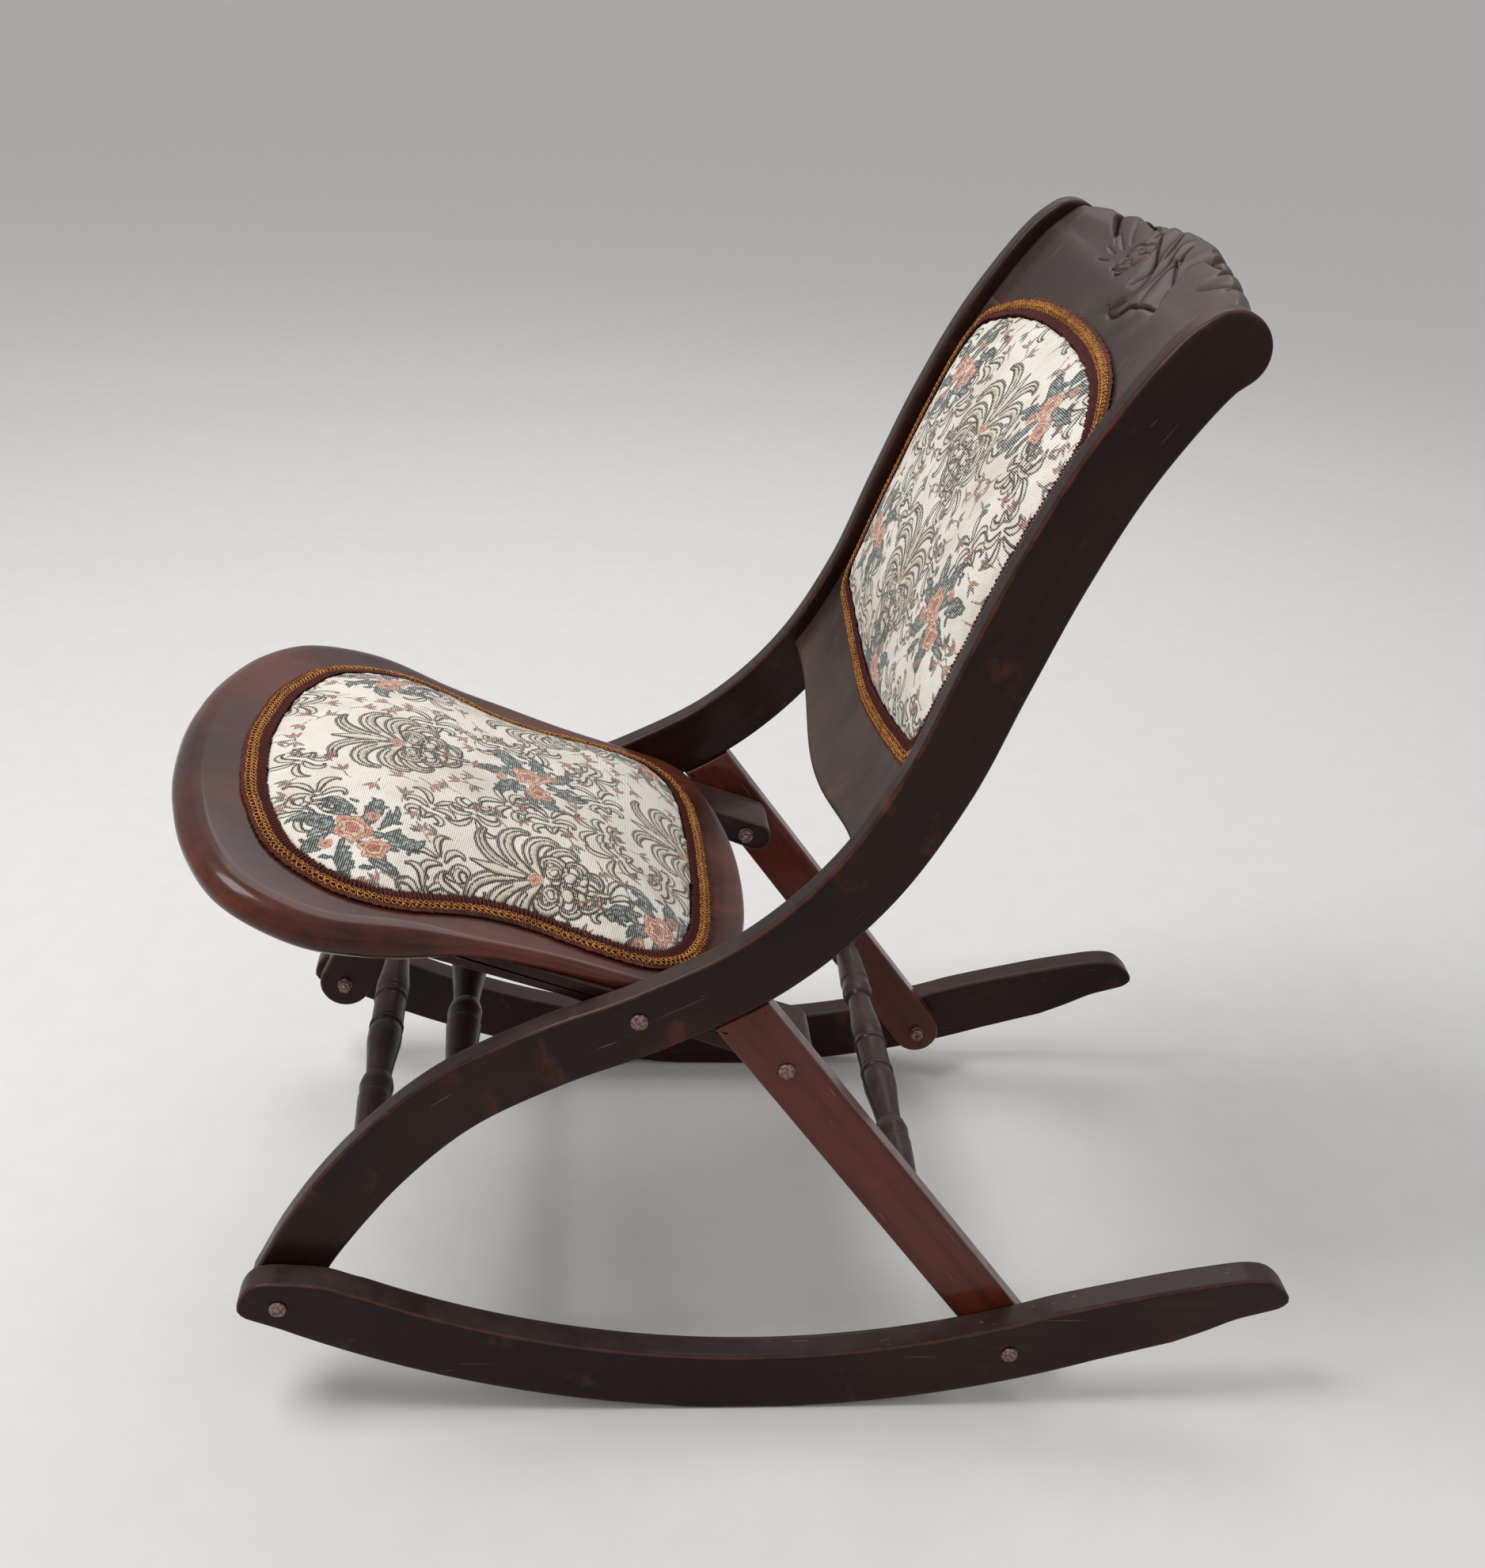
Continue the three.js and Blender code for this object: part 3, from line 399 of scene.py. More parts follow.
class NodeDesk:
    """Adds nodes to a tree and links them by the names of their sockets."""

    def __init__(self, tree):
        self.tree = tree

    def put(self, kind, inputs=None, **settings):
        node = self.tree.nodes.new(kind)
        for name, value in settings.items():
            setattr(node, name, value)
        for key, value in (inputs or {}).items():
            self.feed(node.inputs[key], value)
        return node

    def feed(self, socket, value):
        if isinstance(value, bpy.types.NodeSocket):
            self.tree.links.new(value, socket)
        else:
            socket.default_value = value

    def sum(self, operation, *values, kind="ShaderNodeMath"):
        node = self.put(kind, operation=operation)
        for socket, value in zip(node.inputs, values):
            self.feed(socket, value)
        return node.outputs[0]

    def plus(self, first, second):
        return self.sum("ADD", first, second)

    def minus(self, first, second):
        return self.sum("SUBTRACT", first, second)

    def times(self, first, second):
        return self.sum("MULTIPLY", first, second)

    def vector(self, operation, *values):
        return self.sum(operation, *values, kind="ShaderNodeVectorMath")

    def mix(self, share, first, second):
        node = self.put("ShaderNodeMix", data_type="RGBA")
        for number, value in ((0, share), (6, first), (7, second)):
            self.feed(node.inputs[number], value)
        return node.outputs[2]

    def span(self, value, low, high, to_low=0.0, to_high=1.0):
        node = self.put(
            "ShaderNodeMapRange",
            {"Value": value, "From Min": low, "From Max": high, "To Min": to_low, "To Max": to_high},
            interpolation_type="SMOOTHSTEP",
        )
        return node.outputs[0]

    def stretched(self, vector, scale):
        return self.vector("MULTIPLY", vector, scale)

    def noise(self, vector, scale, detail=3.0, roughness=0.5, distortion=0.0):
        node = self.put(
            "ShaderNodeTexNoise",
            {"Vector": vector, "Scale": scale, "Detail": detail, "Roughness": roughness,
             "Distortion": distortion},
        )
        return node.outputs[0]

    def attribute(self, name, output="Fac"):
        return self.put("ShaderNodeAttribute", attribute_name=name, attribute_type="GEOMETRY").outputs[output]

    def place(self):
        return self.put("ShaderNodeTexCoord").outputs["Object"]

    def bump(self, shader, height, strength, distance):
        node = self.put("ShaderNodeBump", {"Height": height, "Strength": strength, "Distance": distance})
        self.feed(shader.inputs["Normal"], node.outputs[0])


def new_material(name, colour, roughness=0.5, metallic=0.0, **constants):
    """A material with its constants on the shader's own sockets, and a desk for the rest."""
    material = bpy.data.materials.new(name)
    material.use_nodes = True
    material.diffuse_color = colour
    desk = NodeDesk(material.node_tree)
    shader = material.node_tree.nodes["Principled BSDF"]
    shader.inputs["Base Color"].default_value = colour
    shader.inputs["Roughness"].default_value = roughness
    shader.inputs["Metallic"].default_value = metallic
    for socket, value in constants.items():
        shader.inputs[socket.replace("_", " ")].default_value = value
    return material, desk, shader


def aged_wood(name, deep, light, worn, greyed, polish, coat=0.12):
    """Stained and varnished wood: cloudy stain, faint long grain, rubbed edges, a few scratches and dust.

    The per-point attribute read below is above zero where the stain is rubbed, and below zero in the carving's
    creases, where painted shade darkens them to near black.
    """
    found = bpy.data.materials.get(name)
    if found:
        return found
    deep, light, worn, greyed = (opaque(colour) for colour in (deep, light, worn, greyed))
    material, desk, shader = new_material(
        name, light, Specular_IOR_Level=0.13, Coat_Weight=coat, Coat_Roughness=0.12)
    grain = desk.attribute("grain", "Vector")
    place = desk.place()
    bend = desk.noise(desk.stretched(grain, (5, 30, 30)), 1.0, 2.0)
    sway = desk.put("ShaderNodeCombineXYZ", {"X": 0.0, "Y": bend, "Z": bend}).outputs[0]
    swayed = desk.vector("ADD", grain, desk.vector("MULTIPLY", sway, (0, 0.009, 0.009)))
    streaks = desk.noise(desk.stretched(swayed, (5, 130, 130)), 1.0, 4.0, 0.55)
    pores = desk.noise(desk.stretched(swayed, (70, 1500, 1500)), 1.0, 2.0)
    clouds = desk.noise(place, 6.5, 3.0, 0.55)
    patches = desk.noise(place, 24.0, 4.0, 0.62)
    colour = desk.mix(desk.span(clouds, 0.36, 0.66), light, deep)
    colour = desk.mix(desk.span(streaks, 0.42, 0.64, 0.0, 0.38), colour, deep)
    colour = desk.mix(desk.span(pores, 0.54, 0.7, 0.0, 0.28), colour, linear(14, 8, 7))
    colour = desk.mix(desk.span(patches, 0.58, 0.78, 0.0, 0.4), colour, worn)
    rubbing = desk.noise(place, 60.0, 4.0, 0.65)
    wear_and_crease_shade = desk.attribute("wear_and_crease_shade")
    edge = desk.plus(wear_and_crease_shade, desk.times(rubbing, 0.9))
    rubbed = desk.span(desk.plus(edge, desk.times(clouds, 0.5)), 1.34, 1.72)
    colour = desk.mix(desk.times(rubbed, 0.36), colour, worn)
    dust = desk.times(desk.attribute("dust"), desk.span(patches, 0.35, 0.62, 0.45, 1.0))
    colour = desk.mix(dust, colour, greyed)
    scratches = desk.noise(desk.stretched(grain, (22, 560, 560)), 1.0, 1.0, 0.4, 0.6)
    sparse = desk.noise(place, 16.0, 1.0)
    scratched = desk.times(desk.span(scratches, 0.735, 0.76), desk.span(sparse, 0.52, 0.62))
    colour = desk.mix(desk.times(scratched, 0.4), colour, linear(150, 128, 118))
    # Painted shade: where the attribute is below zero, in the carving's creases, the colour goes to near black.
    colour = desk.mix(desk.span(wear_and_crease_shade, -0.05, -0.9, 0.0, 0.9), colour, linear(9, 6, 5))
    desk.feed(shader.inputs["Base Color"], colour)
    glazed = desk.span(patches, 0.3, 0.7, polish - 0.07, polish + 0.09)
    uneven = desk.plus(glazed, desk.times(dust, 0.45))
    desk.feed(shader.inputs["Roughness"], desk.plus(uneven, desk.times(rubbed, 0.1)))
    height = desk.plus(desk.times(streaks, 0.35), desk.times(pores, -0.2))
    height = desk.plus(height, desk.times(scratched, -0.8))
    height = desk.plus(height, desk.times(patches, 0.9))
    desk.bump(shader, height, 0.14, 0.0008)
    return material


def dark_wood():
    tone = bpy.context.scene.chair_wood
    return aged_wood(
        "stained_dark_wood", tone.dark_deep, tone.dark_light, tone.worn, linear(92, 78, 74), tone.polish)


def red_wood():
    tone = bpy.context.scene.chair_wood
    return aged_wood(
        "polished_red_wood", tone.red_deep, tone.red_light, tone.worn, linear(104, 82, 76),
        tone.polish - 0.12, 0.3)


def dusty_wood():
    tone = bpy.context.scene.chair_wood
    return aged_wood(
        "dusty_carved_wood", tone.crest_deep, tone.crest_light, linear(104, 66, 50), linear(100, 86, 82),
        tone.polish + 0.04)


def aged_iron():
    """Small domed iron heads, browned and slightly pitted."""
    found = bpy.data.materials.get("aged_iron")
    if found:
        return found
    material, desk, shader = new_material("aged_iron", linear(120, 98, 90), metallic=0.75)
    place = desk.place()
    patches = desk.noise(place, 420.0, 4.0, 0.6)
    pits = desk.noise(place, 2200.0, 2.0)
    colour = desk.mix(desk.span(patches, 0.38, 0.62), linear(92, 68, 60), linear(150, 126, 118))
    colour = desk.mix(desk.span(pits, 0.6, 0.7, 0.0, 0.6), colour, linear(60, 40, 32))
    desk.feed(shader.inputs["Base Color"], colour)
    desk.feed(shader.inputs["Roughness"], desk.span(patches, 0.3, 0.7, 0.36, 0.6))
    desk.bump(shader, pits, 0.3, 0.0002)
    return material


def woven_tapestry():
    """Ribbed cream cloth with outlined scrolls, hatched leaves and layered roses.

    The motif attribute holds, in millimetres, how far each point lies outside the scrolls, the leaves and
    the small sprigs, and how far out in its rose it lies, as a share of the rose's size. The side attribute
    tells the shaded side of a scroll's leaf from its pale side.
    """
    found = bpy.data.materials.get("woven_tapestry")
    if found:
        return found
    cloth = bpy.context.scene.chair_tapestry
    ground = opaque(cloth.ground)
    material, desk, shader = new_material(
        "woven_tapestry", ground, 0.92, Sheen_Weight=0.2, Specular_IOR_Level=0.25)
    place = desk.attribute("cloth", "Vector")
    split = desk.put("ShaderNodeSeparateColor", {"Color": desk.attribute("motif", "Color")}).outputs
    axes = desk.put("ShaderNodeSeparateXYZ", {"Vector": place}).outputs
    fine = desk.noise(place, 800.0, 2.0)
    coarse = desk.noise(place, 260.0, 2.0)
    jitter = desk.plus(desk.times(desk.minus(fine, 0.5), 1.5), desk.times(desk.minus(coarse, 0.5), 2.2))
    scroll = desk.plus(split[0], desk.times(jitter, 0.55))
    leaf = desk.plus(split[1], desk.times(jitter, 1.5))
    sprig = desk.plus(split[2], desk.times(jitter, 0.8))
    rose = desk.plus(desk.attribute("motif", "Alpha"), desk.times(jitter, 0.17))

    turn = 2 * math.pi / cloth.rib_pitch
    rib = desk.sum("SINE", desk.plus(desk.times(axes[1], turn), desk.times(axes[0], 0.03 * turn)))
    thread = desk.sum("SINE", desk.times(axes[0], turn / 0.62))
    dashes = desk.span(rib, -0.7, 0.0, 0.45, 1.0)

    soil = desk.noise(place, 20.0, 3.0)
    ground = desk.mix(desk.span(soil, 0.4, 0.75), ground, linear(216, 208, 192))
    ground = desk.mix(desk.span(rib, 0.15, 0.95, 0.0, 0.3), ground, linear(178, 168, 152))
    fleck = desk.noise(desk.stretched(place, (330, 800, 800)), 1.0, 2.0)
    ground = desk.mix(desk.span(fleck, 0.64, 0.7, 0.0, 0.4), ground, linear(132, 122, 102))

    def woven_in(colour, share, thread_colour, strength=1.0):
        held = desk.times(share, desk.times(dashes, strength))
        return desk.mix(held, colour, thread_colour)

    def line(distance, width):
        return desk.span(desk.sum("ABSOLUTE", distance), width, width * 0.45)

    olive = desk.mix(desk.span(coarse, 0.42, 0.6), linear(78, 76, 52), linear(122, 114, 80))
    ink = linear(34, 31, 24)
    side = desk.attribute("side")
    inside = desk.span(scroll, 0.1, -0.4)
    colour = desk.mix(desk.times(inside, 0.45), ground, linear(206, 198, 172))
    patchy = desk.span(coarse, 0.36, 0.56, 0.35, 1.0)
    shaded = desk.times(inside, desk.times(desk.span(side, 0.05, 0.75), patchy))
    colour = woven_in(colour, shaded, olive, 0.95)
    colour = woven_in(colour, line(scroll, 1.2), ink, 1.0)
    bold = desk.times(line(scroll, 1.6), desk.span(side, -0.1, 0.3))
    colour = woven_in(colour, bold, ink, 1.1)

    tint = desk.noise(place, 170.0, 2.0)
    teal = desk.mix(desk.span(tint, 0.42, 0.5), linear(26, 58, 54), linear(84, 110, 116))
    teal = desk.mix(desk.span(tint, 0.56, 0.6), teal, linear(66, 76, 48))
    teal = desk.mix(desk.span(fine, 0.5, 0.62, 0.0, 0.75), teal, linear(186, 190, 178))
    colour = woven_in(colour, desk.span(leaf, 0.4, -0.3), teal, 1.15)
    colour = woven_in(colour, line(leaf, 1.3), linear(22, 30, 30))
    small = desk.mix(desk.span(tint, 0.47, 0.53), linear(58, 68, 66), linear(150, 84, 66))
    colour = woven_in(colour, desk.span(sprig, 0.4, -0.3), small)

    fold = desk.sum("SINE", desk.plus(desk.times(rose, 15.0), desk.times(coarse, 12.0)))
    petal = desk.mix(desk.span(fold, -0.4, 0.5), linear(196, 124, 96), linear(230, 192, 164))
    petal = desk.mix(desk.span(fine, 0.54, 0.66, 0.0, 0.6), petal, linear(146, 76, 62))
    petal = desk.mix(desk.span(rose, 0.36, 0.16), petal, linear(158, 74, 62))
    bloom = desk.span(rose, 1.04, 0.98)
    colour = desk.mix(desk.times(bloom, desk.span(rib, -0.9, 0.1, 0.62, 1.0)), colour, petal)
    for ring, width in ((1.0, 0.075), (0.66, 0.06), (0.36, 0.06)):
        colour = woven_in(colour, line(desk.minus(rose, ring), width), linear(96, 50, 44), 0.9)
    desk.feed(shader.inputs["Base Color"], colour)
    weave = desk.plus(rib, desk.times(thread, 0.5))
    weave = desk.plus(weave, desk.times(fine, 0.8))
    desk.bump(shader, weave, 0.5, 0.0004)
    return material


def yarn(name, dark, light, gleam):
    """Twisted yarn, with its shade running from thread to thread."""
    found = bpy.data.materials.get(name)
    if found:
        return found
    material, desk, shader = new_material(
        name, light, 0.62 - gleam * 0.3, gleam * 0.45, Specular_IOR_Level=0.2)
    place = desk.place()
    twist = desk.noise(place, 1500.0, 2.0)
    faded = desk.noise(place, 45.0, 3.0)
    colour = desk.mix(desk.span(twist, 0.38, 0.62), dark, light)
    colour = desk.mix(desk.span(faded, 0.5, 0.7, 0.0, 0.45), colour, dark)
    desk.feed(shader.inputs["Base Color"], colour)
    desk.bump(shader, twist, 0.5, 0.0003)
    return material


# Meshes


def add_values(mesh, name, kind, values):
    attribute = mesh.attributes.new(name, kind, "POINT")
    field = {"FLOAT": "value", "FLOAT_VECTOR": "vector", "FLOAT_COLOR": "color"}[kind]
    attribute.data.foreach_set(field, np.ascontiguousarray(values, np.float32).ravel())


def add_object(name, data):
    piece = bpy.data.objects.new(name, data)
    bpy.context.scene.collection.objects.link(piece)
    return piece


def face_outwards(mesh, merge=0.0):
    """Turns a closed mesh's faces outwards, once its points within merge of each other are joined."""
    sheet = bmesh.new()
    sheet.from_mesh(mesh)
    if merge:
        bmesh.ops.remove_doubles(sheet, verts=sheet.verts, dist=merge)
    bmesh.ops.recalc_face_normals(sheet, faces=sheet.faces)
    sheet.to_mesh(mesh)
    sheet.free()


def apply_modifiers(piece):
    """Keeps the mesh that a piece's modifiers make, and clears them."""
    graph = bpy.context.evaluated_depsgraph_get()
    shown = piece.evaluated_get(graph)
    made = bpy.data.meshes.new_from_object(shown, preserve_all_data_layers=True, depsgraph=graph)
    plain = piece.data
    piece.modifiers.clear()
    piece.data = made
    bpy.data.meshes.remove(plain)


def apply_nodes(piece, tree, given):
    """Runs a tree of geometry nodes over a piece and keeps the mesh that it makes."""
    layer = piece.modifiers.new(tree.name, "NODES")
    layer.node_group = tree
    for socket in tree.interface.items_tree:
        if socket.item_type == "SOCKET" and socket.name in given:
            layer[socket.identifier] = given[socket.name]
    apply_modifiers(piece)


def start_tree(name, sockets, result):
    """A new tree of geometry nodes with its named sockets, its desk and the values it is given."""
    tree = bpy.data.node_groups.new(name, "GeometryNodeTree")
    tree.is_modifier = True
    for socket, kind in sockets:
        tree.interface.new_socket(name=socket, in_out="INPUT", socket_type=f"NodeSocket{kind}")
    tree.interface.new_socket(name=result, in_out="OUTPUT", socket_type="NodeSocketGeometry")
    desk = NodeDesk(tree)
    return tree, desk, desk.put("NodeGroupInput").outputs


def place_piece(piece, body, nodes):
    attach(piece, body)
    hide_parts(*nodes)
    return piece


def faces_between(rows, count, closed_rows=False, closed_across=True):
    """Four-cornered faces between rows of points, count points to a row."""
    faces = []
    for r in range(rows if closed_rows else rows - 1):
        here, beyond = r * count, (r + 1) % rows * count
        for k in range(count if closed_across else count - 1):
            after = (k + 1) % count
            faces.append((here + k, here + after, beyond + after, beyond + k))
    return faces


def end_faces(rows, count):
    return [tuple(range(count)), tuple(range((rows - 1) * count, rows * count))]


def wooden_piece(node, points, faces, material, body, grain, wear_and_crease_shade, dusting=0.35, angle=38):
    """Writes the closed wooden piece that stands for a node, its points in millimetres."""
    name = f"{node}_finish"
    mesh = bpy.data.meshes.new(name)
    mesh.from_pydata(np.clip(points * MM, FRAME_LOW, FRAME_HIGH).tolist(), [], faces)
    face_outwards(mesh)
    count = len(points)
    seed = sum(ord(letter) for letter in name)
    shift = np.array([seed * 0.37 % 3.1, seed * 0.61 % 2.3, seed * 0.83 % 1.7])
    add_values(mesh, "grain", "FLOAT_VECTOR", np.asarray(grain, float) * MM + shift)
    add_values(mesh, "wear_and_crease_shade", "FLOAT", wear_and_crease_shade)
    normals = np.zeros(count * 3, np.float32)
    mesh.vertices.foreach_get("normal", normals)
    add_values(mesh, "dust", "FLOAT", dusting * smoothstep(normals.reshape(-1, 3)[:, 2], 0.35, 0.95))
    mesh.shade_smooth()
    mesh.set_sharp_from_angle(angle=math.radians(angle))
    mesh.materials.append(material)
    return place_piece(add_object(name, mesh), body, [node])


def board_rings(outline, inner_x, outer_x, radii, side):
    """Rings of a sawn board with rounded edges, their wear, and the faces between them.

    radii gives the edge rounding at each point of the outline.
    """
    inward = inward_of(outline)
    count = len(outline)
    radii = np.broadcast_to(np.asarray(radii, float), count)
    edge_turns = ((90, 0.35), (68, 0.75), (45, 0.95), (22, 0.75), (0, 0.4))
    rings = []
    for face_x, way in ((inner_x, 1), (outer_x, -1)):
        edge = [(np.minimum(radii + 4, 8), np.full(count, face_x), 0.0)]
        for degrees, worn in edge_turns:
            a = math.radians(degrees)
            edge.append((radii * (1 - math.cos(a)), face_x + way * radii * (1 - math.sin(a)), worn))
        edge.append((radii * 0, face_x + way * (radii + 2.2), 0.1))
        rings += edge[::way]
    points = [np.column_stack([side * x, outline + inward * inset[:, None]]) for inset, x, _ in rings]
    wear_and_crease_shade = np.repeat([worn for _, _, worn in rings], count)
    return np.vstack(points), wear_and_crease_shade, faces_between(len(rings), count)


def straight_grain(points, along, origin):
    """Grain places: along the board, across it and through it."""
    along = unit(np.asarray(along, float))
    beyond = points[:, 1:] - origin
    across = np.array([-along[1], along[0]])
    return np.column_stack([beyond @ along, beyond @ across, points[:, 0]])


def sawn_piece(name, outline, inner_x, outer_x, side, along, material, body, radii=BOARD_EDGE):
    """A straight-grained board sawn to an outline in the side view."""
    points, wear_and_crease_shade, faces = board_rings(outline, inner_x, outer_x, radii, side)
    count = len(outline)
    faces += end_faces(len(points) // count, count)
    grain = straight_grain(points, along, outline[0])
    return wooden_piece(name, points, faces, material, body, grain, wear_and_crease_shade)


def rocker_outline():
    """The rocker's outline: its rolling underside, swept tail, hollow top and nose."""
    flat_front, flat_back = ROLL_CENTRE - FLAT_IN_FRONT, ROLL_CENTRE + FLAT_BEHIND
    underside = []
    for y in np.linspace(FRONT_PIVOT_Y, ROLL_CENTRE + TAIL_START - 12, 90):
        if y < flat_front - 4 or y > flat_back + 4:
            underside.append((y, underside_height(y)))
    underside += [(flat_front, 0.9), (flat_front + 22, 0.0), (flat_back - 16, 0.0), (flat_back, 0.4)]
    underside.sort()
    tail_y = ROLL_CENTRE + TAIL_START
    tail_z = underside_height(tail_y)
    drop = TAIL[1] - TAIL_DEPTH
    under = [(tail_y + a * TAIL[0], tail_z + b * TAIL[1]) for a, b in TAIL_UNDER_SHARES][::-1]
    top = [(tail_y + a * TAIL[0], tail_z + b * TAIL_DEPTH + a * drop) for a, b in TAIL_TOP_SHARES]
    nose = [FRONT_PIVOT + np.array(share) * NOSE for share in NOSE_SHARES]

    def top_height(y):
        beyond = y - ROLL_CENTRE + ROCKER_TOP_SHIFT
        return ROCKER_DEPTH + ROCKER_TOP_RADIUS - math.sqrt(ROCKER_TOP_RADIUS**2 - beyond**2)

    eased = [(top[0][0] - step, top_height(top[0][0] - step)) for step in (36, 56)]
    tail_line = evenly(smooth_line(under + top[:0:-1] + eased), 80)
    upper = [(y, top_height(y)) for y in np.linspace(eased[-1][0], nose[0][0], 76)[1:-1]]
    nose_line = evenly(smooth_line(nose), 44)
    return evenly(np.vstack([underside, tail_line, upper, nose_line]), 330, closed=True)


def leg_outline():
    """The rear leg's outline: a round foot, and a top cut to follow the rail's underside."""
    up = unit(LEG_TOP_PIVOT - REAR_PIVOT)
    across = np.array([-up[1], up[0]])
    start = np.linalg.norm(SEAT_PIVOT - FRONT_PIVOT)
    underside = beside_rail(np.linspace(start, RAIL_LENGTH, 500), -RAIL_WIDTH / 2 - LEG_TOP_GAP)
    top = []
    for share in np.linspace(-1, 1, 9):
        foot = REAR_PIVOT + across * share * LEG_WIDTH / 2
        offset = underside - foot
        side = offset[:, 0] * up[1] - offset[:, 1] * up[0]
        k = int(np.argmax(side[1:] * side[:-1] <= 0))
        top.append(underside[k] + (underside[k + 1] - underside[k]) * side[k] / (side[k] - side[k + 1]))
    angle = math.atan2(across[1], across[0])
    return np.vstack([arc(REAR_PIVOT, LEG_WIDTH / 2, angle, angle + math.pi, 28), top])


def rail_piece(side_name, side, material):
    """A bent rail whose grain follows its curve, rounder on its front edges than behind."""
    steps = 190
    distance = np.linspace(0, RAIL_LENGTH, steps + 1)
    half = RAIL_FOOT + (RAIL_WIDTH / 2 - RAIL_FOOT) * smoothstep(distance, 0, 2 * RAIL_WIDTH)
    rear, front = beside_rail(distance, -half), beside_rail(distance, half)
    (ear,), (ear_front,) = along_rail(RAIL_LENGTH)
    (foot,), (foot_front,) = along_rail(0.0)
    ear_angle, foot_angle = (math.atan2(v[1], v[0]) for v in (ear_front, foot_front))
    cap_steps = 26
    ear_cap = arc(ear, RAIL_WIDTH / 2, ear_angle - math.pi, ear_angle, cap_steps)[1:-1]
    foot_cap = arc(foot, RAIL_FOOT, foot_angle, foot_angle + math.pi, cap_steps)[1:-1]
    outline = np.vstack([rear, ear_cap, front[::-1], foot_cap])
    turn = np.linspace(0, math.pi, cap_steps + 1)[1:-1]
    reach = RAIL_WIDTH / 2
    beyond_ear = np.column_stack([RAIL_LENGTH + reach * np.sin(turn), -reach * np.cos(turn)])
    beyond_foot = np.column_stack([-RAIL_FOOT * np.sin(turn), RAIL_FOOT * np.cos(turn)])
    places = np.vstack([
        np.column_stack([distance, -half]), beyond_ear,
        np.column_stack([distance, half])[::-1], beyond_foot,
    ])
    facing = smoothstep(places[:, 1], -8, 14)
    radii = BOARD_EDGE + 0.6 * facing
    points, wear_and_crease_shade, faces = board_rings(outline, RAIL_INNER, RAIL_OUTER, radii, side)
    n, m, c = len(outline), steps + 1, cap_steps - 1
    for base in (0, len(points) - n):
        for k in range(steps):
            other = m + c + (m - 1 - k)
            faces.append((base + k, base + k + 1, base + other - 1, base + other))
        faces.append(tuple(base + k for k in range(m - 1, m + c + 1)))
        faces.append(tuple(base + k for k in (*range(m + c + m - 1, n), 0)))
    rings = len(points) // n
    grain = np.column_stack([np.tile(places, (rings, 1)), points[:, 0]])
    wear_and_crease_shade = wear_and_crease_shade * (0.7 + 0.3 * np.tile(facing, rings))
    return wooden_piece(
        f"side_rail_{side_name}", points, faces, material, "back_frame", grain, wear_and_crease_shade, 0.42)


def turned_piece(name, centre, body):
    """A stretcher turned with beads, rings and slow swells, tapered to its tenons."""
    half = RAIL_INNER - SEATING_GAP
    shares = np.array(TURNING_SHARES)
    reach = np.linspace(0, 1, 150)
    radius = np.interp(reach, shares[:, 0], shares[:, 1])
    kernel = np.hanning(7)
    padded = np.r_[radius[3:0:-1], radius, np.full(3, radius[-1])]
    radius = np.convolve(padded, kernel / kernel.sum(), "valid") * STRETCHER_RADIUS
    for groove, deep in ((0.088, 0.9), (0.122, 0.9), (0.466, 1.3), (0.6, 0.9), (0.105, 0.3)):
        radius -= deep * np.exp(-(((reach - groove) * half) / 0.9) ** 2)
    x = np.r_[-reach[:0:-1], reach] * half
    r = np.r_[radius[:0:-1], radius]
    x = np.r_[-half - 12, -half, x, half, half + 12]
    r = np.r_[7, 7, r, 7, 7]
    sides = 40
    angle = np.linspace(0, 2 * math.pi, sides, endpoint=False)
    points = np.column_stack([
        np.repeat(x, sides),
        (centre[0] + r[:, None] * np.cos(angle)).ravel(),
        (centre[1] + r[:, None] * np.sin(angle)).ravel(),
    ])
    faces = faces_between(len(x), sides) + end_faces(len(x), sides)
    grain = np.column_stack([points[:, 0], points[:, 1] - centre[0], points[:, 2] - centre[1]])
    neighbours = np.convolve(np.pad(r, 6, mode="edge"), np.ones(13) / 13, "valid")
    wear_and_crease_shade = np.repeat(0.28 + 0.6 * np.clip((r - neighbours) / 0.8, 0, 1), sides)
    return wooden_piece(name, points, faces, dark_wood(), body, grain, wear_and_crease_shade, 0.4, 50)


def stroke(places, line, radii):
    """How far each place lies outside a tapering stroke, from its middle line, and to the left of it."""
    outside = np.full(len(places), 1e3)
    middle, left = outside.copy(), np.zeros(len(places))
    for a, b, ra, rb in zip(line, line[1:], radii, radii[1:]):
        ab = b - a
        beyond = places - a
        t = np.clip((beyond @ ab) / max(ab @ ab, 1e-9), 0, 1)
        far = np.linalg.norm(beyond - t[:, None] * ab, axis=1)
        depth = far - (ra + (rb - ra) * t)
        closer = depth < outside
        side = (ab[0] * beyond[:, 1] - ab[1] * beyond[:, 0]) / max(np.linalg.norm(ab), 1e-9)
        pairs = ((depth, outside), (far, middle), (side, left))
        outside, middle, left = (np.where(closer, *pair) for pair in pairs)
    return outside, middle, left


def heading(turn):
    """The way of a heading given in degrees."""
    return np.array([math.cos(math.radians(turn)), math.sin(math.radians(turn))])


def curl(start, turn, length, bend, end_bend, steps=14):
    """A line that sets off at a heading, in degrees, and turns at a rate that changes along it."""
    turn = math.radians(turn)
    points = [np.array(start, float)]
    step = length / steps
    for k in range(steps):
        turn += (bend + (end_bend - bend) * k / steps) * step
        points.append(points[-1] + step * np.array([math.cos(turn), math.sin(turn)]))
    return np.array(points)


def leaf_radii(width, steps=14, tip=0.12):
    t = np.linspace(0, 1, steps + 1)
    return width * np.maximum(tip, np.sin(math.pi * np.clip(t * 0.93 + 0.05, 0, 1)) ** 0.8)


